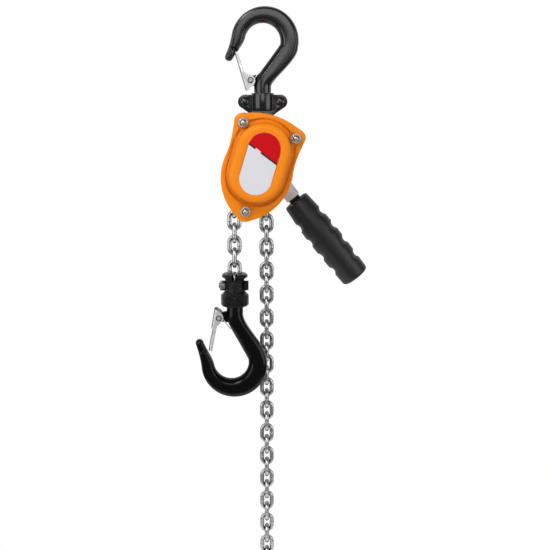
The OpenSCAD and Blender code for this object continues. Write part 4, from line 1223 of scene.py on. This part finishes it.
@dataclass
class RatingPlate:
    """A stadium shaped plate with two plain colour fields and a broken dark bar."""

    r: float = 15.0
    half: float = 14.3
    face_y: float = -34.13
    thick: float = 0.7
    edge: Point2 = (0.08, 0.06)
    inset: float = 0.05
    bar_at: Point2 = (-1.8, 10.0)
    bar_slope: float = -20.2
    bar_w: float = 1.5
    bar_gap: Point2 = (-6.5, -0.5)
    red_lift: float = 0.05
    bar_lift: float = 0.06
    steps: int = 48

    def boundary(self, inset: float) -> list[np.ndarray]:
        """Outline of the plate, drawn in by an inset."""
        starts, ways = stadium(self.half, self.steps, (2, 2))
        return list(starts + ways * (self.r - inset))

    def cut(self, points: list[np.ndarray], turn: float, at: float, keep: int) -> list[np.ndarray]:
        """Cuts a polygon by a line.

        Args:
            points: The polygon.
            turn: Direction square to the line, in degrees from the bar.
            at: Distance of the line from the bar's middle in that direction.
            keep: 1 to keep what lies further in that direction, -1 what lies before.

        Returns:
            The cut polygon.
        """
        way = polar(1, self.bar_slope + turn)
        beyond = [((p - self.bar_at) @ way - at) * keep for p in points]
        made = []
        for k, here in enumerate(beyond):
            a, before = points[k - 1], beyond[k - 1]
            if before * here < 0:
                made.append(a + (points[k] - a) * before / (before - here))
            if here >= 0:
                made.append(points[k])
        return made

    def layer(self, name: str, points: list[np.ndarray], finish: Finish, lift: float,
              stands_for: Sequence[str] = ()) -> None:
        """Builds one colour field as a thin layer.

        Args:
            name: Name of the piece.
            points: Its outline.
            finish: Its finish.
            lift: How far its face stands in front of the plate.
            stands_for: Nodes that it replaces.
        """
        flat = np.array(points)
        out = flat - flat.mean(0)
        out /= np.linalg.norm(out, axis=1, keepdims=True)
        face = self.face_y - lift
        levels = ((0.0, self.face_y + self.thick), (0.0, face + self.edge[1]), (self.edge[0], face))
        rings = [standing(flat - out * inset, y) for inset, y in levels]
        shape = Shape().loft(rings, IN_FRAME, (False, True))
        shape.build(name, Body.FRAME, finish, stands_for, sharp=30)

    def build(self) -> None:
        """Builds and dresses the plate."""
        self.layer("plate_white", self.boundary(0), Finishes.label_white, 0.0, ("rating_plate",))
        printed, half_bar = self.boundary(self.inset), self.bar_w / 2
        self.layer("plate_red", self.cut(printed, 90, half_bar, 1), Finishes.label_red, self.red_lift)
        band = self.cut(self.cut(printed, 90, -half_bar, 1), 90, half_bar, -1)
        left, right = self.bar_gap
        self.layer("plate_bar_left", self.cut(band, 0, left, -1), Finishes.label_dark, self.bar_lift)
        self.layer("plate_bar_right", self.cut(band, 0, right, 1), Finishes.label_dark, self.bar_lift)


@dataclass
class StayFasteners:
    """Washers, nuts and stud ends at both ends of the three stays."""

    seat_y: float = 18.0
    washer_r: float = 4.7
    washer_t: float = 1.0
    washer_edge: float = 0.35
    washer_foot: Point2 = (0.1, 0.2)
    washer_sides: int = 56
    nut_flats: float = 7.0
    nut_h: float = 3.5
    nut_round: float = 1.02
    nut_chamfer: float = 0.58
    nut_sides: int = 72
    bore_edge: float = 0.5
    stud_r: float = 2.5
    stud_out: float = 0.8
    stud_sides: int = 40
    dome: tuple[Point2, ...] = ((0.3, 0.0), (1.2, 0.06), (1.8, 0.22), (2.15, 0.5))
    thread_from: float = 0.85
    thread_pitch: float = 0.8
    thread_depth: float = 0.35
    threads: int = 6

    def build(self) -> None:
        """Builds and dresses the fasteners."""
        washers, nuts, studs = Shape(), Shape(), Shape()
        r, t, edge = self.washer_r, self.washer_t, self.washer_edge
        foot, low = self.washer_foot
        washer = [(self.stud_r, 0), (r - foot, 0), (r, low), (r, t - edge), (r - edge, t), (self.stud_r, t)]
        for x, z in STAYS:
            for sign in (-1.0, 1.0):
                place = IN_FRAME @ along_y(x, sign * self.seat_y, z, sign)
                washers.lathe(washer, self.washer_sides, place, (False, False))
                self.add_nut(nuts, place)
            studs.lathe(self.stud_profile(), self.stud_sides, IN_FRAME @ along_y(x, 0, z))
        washers.build("stay_washers_fine", Body.FRAME, Finishes.pale, ("stay_washers",))
        nuts.build("stay_nuts_fine", Body.FRAME, Finishes.zinc, ("stay_nuts",), sharp=25)
        studs.build("stay_studs_fine", Body.FRAME, Finishes.yellow, ("stay_studs",), sharp=30)

    def stud_profile(self) -> list[Point2]:
        """Profile of a stud with threaded, domed ends.

        Returns:
            Points of the profile as (radius, height).
        """
        end = self.seat_y + self.washer_t + self.nut_h + self.stud_out
        upper = [(r, end - drop) for r, drop in self.dome]
        for k in range(self.threads):
            crest = end - self.thread_from - self.thread_pitch * k
            upper += [(self.stud_r, crest), (self.stud_r - self.thread_depth, crest - self.thread_pitch / 2)]
        return upper + [(r, -h) for r, h in reversed(upper)]

    def add_nut(self, shape: Shape, place: Matrix) -> None:
        """Adds one hexagon nut with chamfered corners.

        Args:
            shape: Shape that takes the nut.
            place: Where it sits.
        """
        steps, flat = self.nut_sides, self.nut_flats / 2
        low, high = self.washer_t, self.washer_t + self.nut_h
        turn = np.linspace(0, 2 * math.pi, steps, endpoint=False)
        hexagon = flat / np.cos((turn + math.pi / 6) % (math.pi / 3) - math.pi / 6)
        round_r = flat * self.nut_round
        drop = self.nut_chamfer * np.maximum(hexagon - round_r, 0)
        levels = ((round_r, low), (hexagon, low + drop), (hexagon, high - drop), (round_r, high),
                  (self.stud_r + self.bore_edge, high), (self.stud_r, high - self.bore_edge))
        x, y = circle(steps).T
        rings = [np.column_stack([x * r, y * r, np.broadcast_to(h, steps)]) for r, h in levels]
        shape.loft(rings, place, (False, False))


@dataclass
class Chain:
    """A run of welded round links laid over the links of a node.

    Args:
        name: Name of the piece.
        node: Node that it stands for.
        body: Body that carries it.
    """

    name: str
    node: str
    body: Body
    wire: float = 4.0
    width: float = 13.6
    straight: float = 3.35
    bend_steps: int = 13
    leg_steps: tuple[int, int] = (6, 12)
    sides: int = 16
    bead_h: float = 0.16
    bead_half: float = 0.75
    dip_h: float = 0.05
    dip_at: float = 1.4
    dip_half: float = 0.5

    def places(self) -> list[Matrix]:
        """Places of the links, found from the islands of the node's mesh.

        Returns:
            One matrix for each link, in millimetres.
        """
        work = welded(frame["nodes"][self.node].data)
        work.verts.index_update()
        seen: set[int] = set()
        made = []
        for first in work.verts:
            if first.index in seen:
                continue
            seen.add(first.index)
            stack, island = [first], []
            while stack:
                vert = stack.pop()
                island.append(vert.co[:])
                for edge in vert.link_edges:
                    other = edge.other_vert(vert)
                    if other.index not in seen:
                        seen.add(other.index)
                        stack.append(other)
            made.append(self.fit(np.array(island) / MM))
        work.free()
        return made

    @staticmethod
    def fit(points: np.ndarray) -> Matrix:
        """Place of one link.

        Args:
            points: Points of the link.

        Returns:
            Its place, with the length along Z and the width along X.
        """
        middle = points.mean(0)
        _, _, axes = np.linalg.svd(points - middle, full_matrices=False)
        spread = (points - middle) @ axes.T
        centre = middle + ((spread.max(0) + spread.min(0)) / 2) @ axes
        length, across = axes[0], axes[1]
        turn = Matrix(np.stack([across, np.cross(length, across), length], 1).tolist()).to_4x4()
        return Matrix.Translation(centre.tolist()) @ turn

    def bead(self, z: float) -> float:
        """Height of the weld bead along its leg, with a dip on both sides of it."""
        dip = self.dip_h * math.exp(-(((abs(z) - self.dip_at) / self.dip_half) ** 2))
        return self.bead_h * math.exp(-((z / self.bead_half) ** 2)) - dip

    def link(self) -> list[np.ndarray]:
        """Rings of one link, with a weld bead on one leg.

        Returns:
            Rings of points round the link.
        """
        bend = (self.width - self.wire) / 2
        c, s = circle(self.sides).T
        rings = []
        for start, way in zip(*stadium(self.straight, self.bend_steps, self.leg_steps)):
            on_weld = abs(start[1]) < self.straight and way[0] > 0
            r = self.wire / 2 + (self.bead(start[1]) if on_weld else 0.0)
            rings.append(standing(start + way * bend + np.outer(c * r, way), s * r))
        return rings

    def build(self) -> None:
        """Builds and dresses the run."""
        shape, rings = Shape(), self.link()
        for k, place in enumerate(self.places()):
            shape.loft(rings, place @ Matrix.Rotation(math.pi * (k % 2), 4, "Z"), loop=True)
        shape.build(self.name, self.body, Finishes.chain, (self.node,), sharp=60)


@dataclass
class Grip:
    """The moulded lever grip with its finger scallops."""

    start: float = 55.4
    length: float = 97.75
    widths: tuple[float, float, float] = (26.0, 31.2, 28.9)
    full_at: float = 0.45
    flatness: float = 0.94
    mid_y: float = 42.5
    scallops: int = 4
    first: float = 0.24
    step: float = 0.195
    scallop_half: float = 4.9
    scallop_depth: float = 2.1
    scallop_form: float = 0.8
    scallop_wrap: float = 3.5
    scallop_side: float = 0.3
    mouth: tuple[Point2, ...] = ((0.42, 0.8), (0.8, 0.6), (0.86, 0.0), (0.93, 0.0), (0.98, 0.5))
    mouth_h: float = 1.4
    end_round: float = 3.0
    end_draw: float = 0.24
    end_turns: tuple[int, ...] = (20, 40, 60, 75, 86)
    end_dish: tuple[Point2, ...] = ((0.66, 0.0), (0.62, 0.4), (0.3, 0.5))
    sides: int = 64
    rings: int = 150

    def half_width(self, t: float) -> float:
        """Half width of the grip.

        Args:
            t: Share of the length.

        Returns:
            The half width.
        """
        near, middle, far = self.widths
        if t < self.full_at:
            return (near + (middle - near) * math.sin(math.pi / 2 * t / self.full_at)) / 2
        beyond = (t - self.full_at) / (1 - self.full_at)
        return (middle + (far - middle) * (1 - math.cos(math.pi / 2 * beyond))) / 2

    def scallop(self, t: float) -> float:
        """Depth of the scallop at a place.

        Args:
            t: Share of the length.

        Returns:
            The depth.
        """
        middles = self.first + self.step * np.arange(self.scallops)
        u = (t - middles) * self.length / self.scallop_half
        return self.scallop_depth * float(np.max(np.maximum(1 - u * u, 0) ** self.scallop_form))

    def ring(self, t: float, shrink: float, x: float) -> np.ndarray:
        """One ring of the grip.

        Args:
            t: Share of the length.
            shrink: Factor on the size.
            x: Place along the lever.

        Returns:
            The points.
        """
        w, (c, s) = self.half_width(t) * shrink, circle(self.sides).T
        cut = self.scallop(t) * np.abs(s) ** self.scallop_wrap
        y = self.mid_y + (w * self.flatness - cut * self.scallop_side) * c
        return np.stack([np.full(self.sides, x), y, (w - cut) * s], 1)

    def build(self) -> None:
        """Builds and dresses the grip."""
        near, far = self.start, self.start + self.length
        low, high = near + self.mouth_h, far - self.end_round
        rings = [self.ring(0, k, near + x) for k, x in self.mouth]
        rings += [self.ring(t, 1, low + (high - low) * t) for t in np.linspace(0, 1, self.rings)]
        for c, s in (polar(1, a) for a in self.end_turns):
            rings.append(self.ring(1, 1 - self.end_draw * (1 - c), high + self.end_round * s))
        rings += [self.ring(1, k, far - x) for k, x in self.end_dish]
        grip = Shape().loft(rings, IN_LEVER)
        grip.build("lever_grip_fine", Body.LEVER, Finishes.rubber, ("lever_grip",), sharp=50)


class Hoist:
    """The whole hoist: builds its sub-assemblies and dresses the nodes that stay."""

    dressed: tuple[tuple[Finish, str], ...] = (
        (Finishes.forged, "top_hook top_yoke_front top_yoke_rear top_yoke_rivets"),
        (Finishes.forged_gloss, "bottom_hook"),
        (Finishes.cast, "bottom_yoke_left bottom_yoke_right bottom_yoke_bolt"),
        (Finishes.latch, "top_latch top_latch_spring top_latch_rivet"),
        (Finishes.latch, "bottom_latch bottom_latch_spring bottom_latch_rivet"),
        (Finishes.zinc, "stay_spacers shaft_nut pawl_pins lever_rivets bottom_yoke_nut"),
        # Brightened zinc paints light onto the shaded lever housings and tang.
        (Finishes.pale, "lever_housing_front lever_housing_rear lever_tang"),
        (Finishes.chain, "tail_end_ring"),
        (Finishes.bronze, "gear_side_bush brake_side_bush"),
        (Finishes.lining, "inner_friction_disc outer_friction_disc"),
        (Finishes.paint, "gear_side_plate brake_side_plate"),
        (Finishes.plastic, "lever_ferrule selector_knob hand_wheel"),
    )
    rounded: tuple[tuple[Body, float, str], ...] = (
        (Body.TOP_YOKE, 0.7, "top_yoke_front top_yoke_rear"),
        (Body.FALL, 0.7, "bottom_yoke_left bottom_yoke_right"),
        (Body.FALL, 0.4, "bottom_yoke_bolt bottom_yoke_nut"),
        (Body.LEVER, 0.8, "lever_housing_front lever_housing_rear"),
        (Body.LEVER, 0.5, "lever_ferrule"),
        (Body.SHAFT, 0.8, "hand_wheel"),
        (Body.SELECTOR, 0.6, "selector_knob"),
        (Body.SHAFT, 0.4, "shaft_nut"),
    )
    spring_round = 0.05
    spring_grow = 0.2

    def __init__(self) -> None:
        """Lists the finish of each node. Machined steel is for the rest."""
        self.node_finish = {node: finish for finish, nodes in self.dressed for node in nodes.split()}

    @staticmethod
    def hooks() -> list[Hook]:
        """Lists the two hooks with their latches.

        Returns:
            The top hook and the bottom hook.
        """
        top_latch = Latch(
            lean=106.5,
            inner=((-8.3, 4.6), (-6.8, 2.8), (-5.6, -0.6), (-3.4, -3.7), (0, -4.3), (3.0, -3.3), (6.6, 2.0),
                   (8.7, 3.9), (28.5, 4.4)),
            outer=((-8.3, 7.2), (28.5, 7.2)),
            half=((-8.3, 6.3), (9.5, 6.3), (17.0, 4.6), (28.5, 4.4)))
        bottom_latch = Latch(
            lean=99.5,
            inner=((-8.0, 2.9), (-7.0, 0.8), (-5.2, -2.2), (-1.5, -4.3), (2.6, -3.7), (7.8, 0.2), (11.5, 0.9),
                   (34.0, 1.4)),
            outer=((-8.0, 5.9), (11.5, 5.9), (12.3, 4.6), (19.5, 4.6), (20.2, 5.0), (34.0, 5.0)),
            half=((-8.0, 6.3), (11.5, 6.3), (18.0, 5.2), (34.0, 5.0)))
        return [
            Hook(Side.TOP, Finishes.forged, bowl=16.5, reach=(33.5, 29.2, 31.8), foot=-47.0,
                 inner=((-3, -30), (-8.1, -33)), outer=((33, -17), (9.5, -34)), tip=(-31.3, -14.3), tip_r=3.8,
                 latch=top_latch, lip_y=4.95),
            Hook(Side.BOTTOM, Finishes.forged_gloss, bowl=17.0, reach=(35.3, 29.3, 35.2), foot=-56.2,
                 inner=((0.5, -34.5), (-4.8, -38)), outer=((31.4, -19.8), (9.8, -38.6)), tip=(-30.95, -19.0),
                 tip_r=3.9, latch=bottom_latch, bevel_at=0.62),
        ]

    def build(self) -> None:
        """Builds every sub-assembly."""
        for name, obj in frame["nodes"].items():
            SHOP.dress(obj, self.node_finish.get(name, Finishes.steel))
        hooks = self.hooks()
        for hook in hooks:
            hook.build()
        for hook in hooks:
            hook.build_latch()
        PressedCover("gear_cover_fine", "gear_cover", seat_y=-16.0, sign=-1.0, oval_h=16.0, dish=(15.1, 0.6),
                     crown=1.4).build()
        PressedCover("brake_cover_fine", "brake_cover", seat_y=16.0, sign=1.0, oval_h=13.5).build()
        RatingPlate().build()
        StayFasteners().build()
        Chain("chain_wrap_fine", "load_chain_wrap", Body.FRAME).build()
        Chain("chain_fall_fine", "load_chain_fall", Body.FALL).build()
        Chain("chain_tail_fine", "load_chain_tail", Body.TAIL).build()
        Grip().build()
        for body, width, nodes in self.rounded:
            for node in nodes.split():
                SoftCopy(node, body, self.node_finish[node], width).build()
        for hook in hooks:
            spring, body = hook.side.value + "_latch_spring", Body(hook.side.value + "_hook")
            SoftCopy(spring, body, Finishes.latch, self.spring_round, self.spring_grow).build()


# Studio


@dataclass(frozen=True)
class SoftBox:
    """One soft box aimed at the object.

    Args:
        name: Name of the light.
        place: Where it stands, from the camera's target in metres.
        size: Its edge in metres.
        power: Its power in watts.
        mirrored: Whether shiny surfaces show it.
    """

    name: str
    place: tuple[float, float, float]
    size: float
    power: float
    mirrored: bool = True


@dataclass
class Studio:
    """Floor, light and camera."""

    target: Vector = field(default_factory=lambda: Vector((0.0115, 0.0, -0.2207)))
    eye: Vector = field(default_factory=lambda: Vector((0.0115, -1.0307, -0.0204)))
    lens: float = 71.15
    sensor: float = 36.0
    clip: Point2 = (0.01, 50.0)
    floor_z: float = -750.0
    floor_rings: tuple[float, ...] = (150.0, 350.0, 600.0)
    floor_sides: int = 96
    floor_color: Rgb = (0.8, 0.8, 0.8)
    floor_glow: float = 0.97
    tent_span: Point2 = (-0.2, 0.9)
    tent_levels: Point2 = (0.24, 0.55)
    room_span: Point2 = (-0.65, -0.25)
    room_levels: Point2 = (0.12, 0.05)
    backdrop_span: Point2 = (0.1, 0.5)
    lights: tuple[SoftBox, ...] = (
        SoftBox("key", (-0.6, -0.85, 1.0), 0.45, 7.0),
        SoftBox("front", (0.0, -1.7, 0.69), 1.0, 5.5),
        SoftBox("left", (-1.2, -0.85, 0.1), 1.1, 6.5),
        SoftBox("right", (1.25, -0.8, 0.1), 1.1, 6.0),
        SoftBox("back", (0.4, 1.4, 0.5), 1.6, 18.0, mirrored=False),
    )

    def build(self) -> None:
        """Builds the whole studio."""
        self.add_camera()
        self.add_floor()
        self.add_world()
        for box in self.lights:
            self.add_light(box)
        bpy.context.scene.view_settings.view_transform = "Standard"

    def add_camera(self) -> None:
        """Adds the camera at the photograph's angle."""
        data = bpy.data.cameras.new("camera")
        data.lens, data.sensor_width = self.lens, self.sensor
        data.clip_start, data.clip_end = self.clip
        camera = put("camera", data)
        camera.location = self.eye
        camera.rotation_euler = (self.target - self.eye).to_track_quat("-Z", "Y").to_euler()
        bpy.context.scene.camera = camera

    def add_floor(self) -> None:
        """Adds a round floor under the object, white where it is seen and pale in its light and shadow."""
        rings = [(r, self.floor_z) for r in self.floor_rings]
        shape = Shape().lathe(rings, self.floor_sides, Matrix(), (True, False))
        floor = put("floor", shape.mesh("floor"))
        material = bpy.data.materials.new("floor_pale")
        wiring = Wiring.of(material)
        matt = wiring.add("BsdfDiffuse", {"Color": (*self.floor_color, 1.0)})
        share = wiring.calc("MULTIPLY", self.seen_rays(wiring), self.floor_glow)
        white = wiring.add("Emission")
        mix = wiring.add("MixShader", {"Fac": share, 1: matt.outputs[0], 2: white.outputs[0]})
        wiring.add("OutputMaterial", {"Surface": mix.outputs[0]})
        floor.data.materials.append(material)
        floor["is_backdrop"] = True

    @staticmethod
    def seen_rays(wiring: Wiring) -> Socket:
        """Mask of the rays that show the background: camera, glossy and transmission rays.

        Args:
            wiring: Wiring of the material or the world.

        Returns:
            The socket with the mask.
        """
        path = wiring.add("LightPath").outputs
        shown = wiring.calc("MAXIMUM", path["Is Camera Ray"], path["Is Glossy Ray"])
        return wiring.calc("MAXIMUM", shown, path["Is Transmission Ray"])

    def add_world(self) -> None:
        """Adds a surround that is plain white where it is seen, dim behind the camera, and a soft tent."""
        world = bpy.data.worlds.new("studio")
        bpy.context.scene.world = world
        wiring = Wiring.of(world)
        way = wiring.add("SeparateXYZ", {0: wiring.add("TexCoord").outputs["Generated"]}).outputs
        room = wiring.remap(way["Y"], self.room_span, self.room_levels, "SMOOTHSTEP")
        backdrop = wiring.remap(way["Y"], self.backdrop_span, kind="SMOOTHSTEP")
        around = wiring.calc("MAXIMUM", room, backdrop)
        camera = wiring.add("LightPath").outputs["Is Camera Ray"]
        level = wiring.add("Mix", {"Factor": camera, "A": around, "B": 1.0}, data_type="FLOAT")
        tent = wiring.remap(way["Z"], self.tent_span, self.tent_levels, "SMOOTHSTEP")
        soft, white = (wiring.add("Background", {"Color": (1.0, 1.0, 1.0, 1.0), "Strength": strength})
                       for strength in (tent, level.outputs["Result"]))
        seen = self.seen_rays(wiring)
        mix = wiring.add("MixShader", {"Fac": seen, 1: soft.outputs[0], 2: white.outputs[0]})
        wiring.add("OutputWorld", {"Surface": mix.outputs[0]})

    def add_light(self, box: SoftBox) -> None:
        """Adds one soft box.

        Args:
            box: The soft box.
        """
        data = bpy.data.lights.new(box.name, "AREA")
        data.shape, data.size, data.energy = "SQUARE", box.size, box.power
        light = put(box.name, data)
        light.location = self.target + Vector(box.place)
        light.rotation_euler = (-Vector(box.place)).to_track_quat("-Z", "Y").to_euler()
        light.visible_glossy = box.mirrored


def main() -> None:
    """Builds the hoist and the studio, and reports each piece."""
    logging.basicConfig(level=logging.INFO, format="%(name)s: %(message)s")
    Hoist().build()
    Studio().build()
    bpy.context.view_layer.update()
    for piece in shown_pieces():
        log.info("%s: %d faces, %s", piece.name, len(piece.data.polygons), piece.data.materials[0].name)


if __name__ == "__main__":
    main()
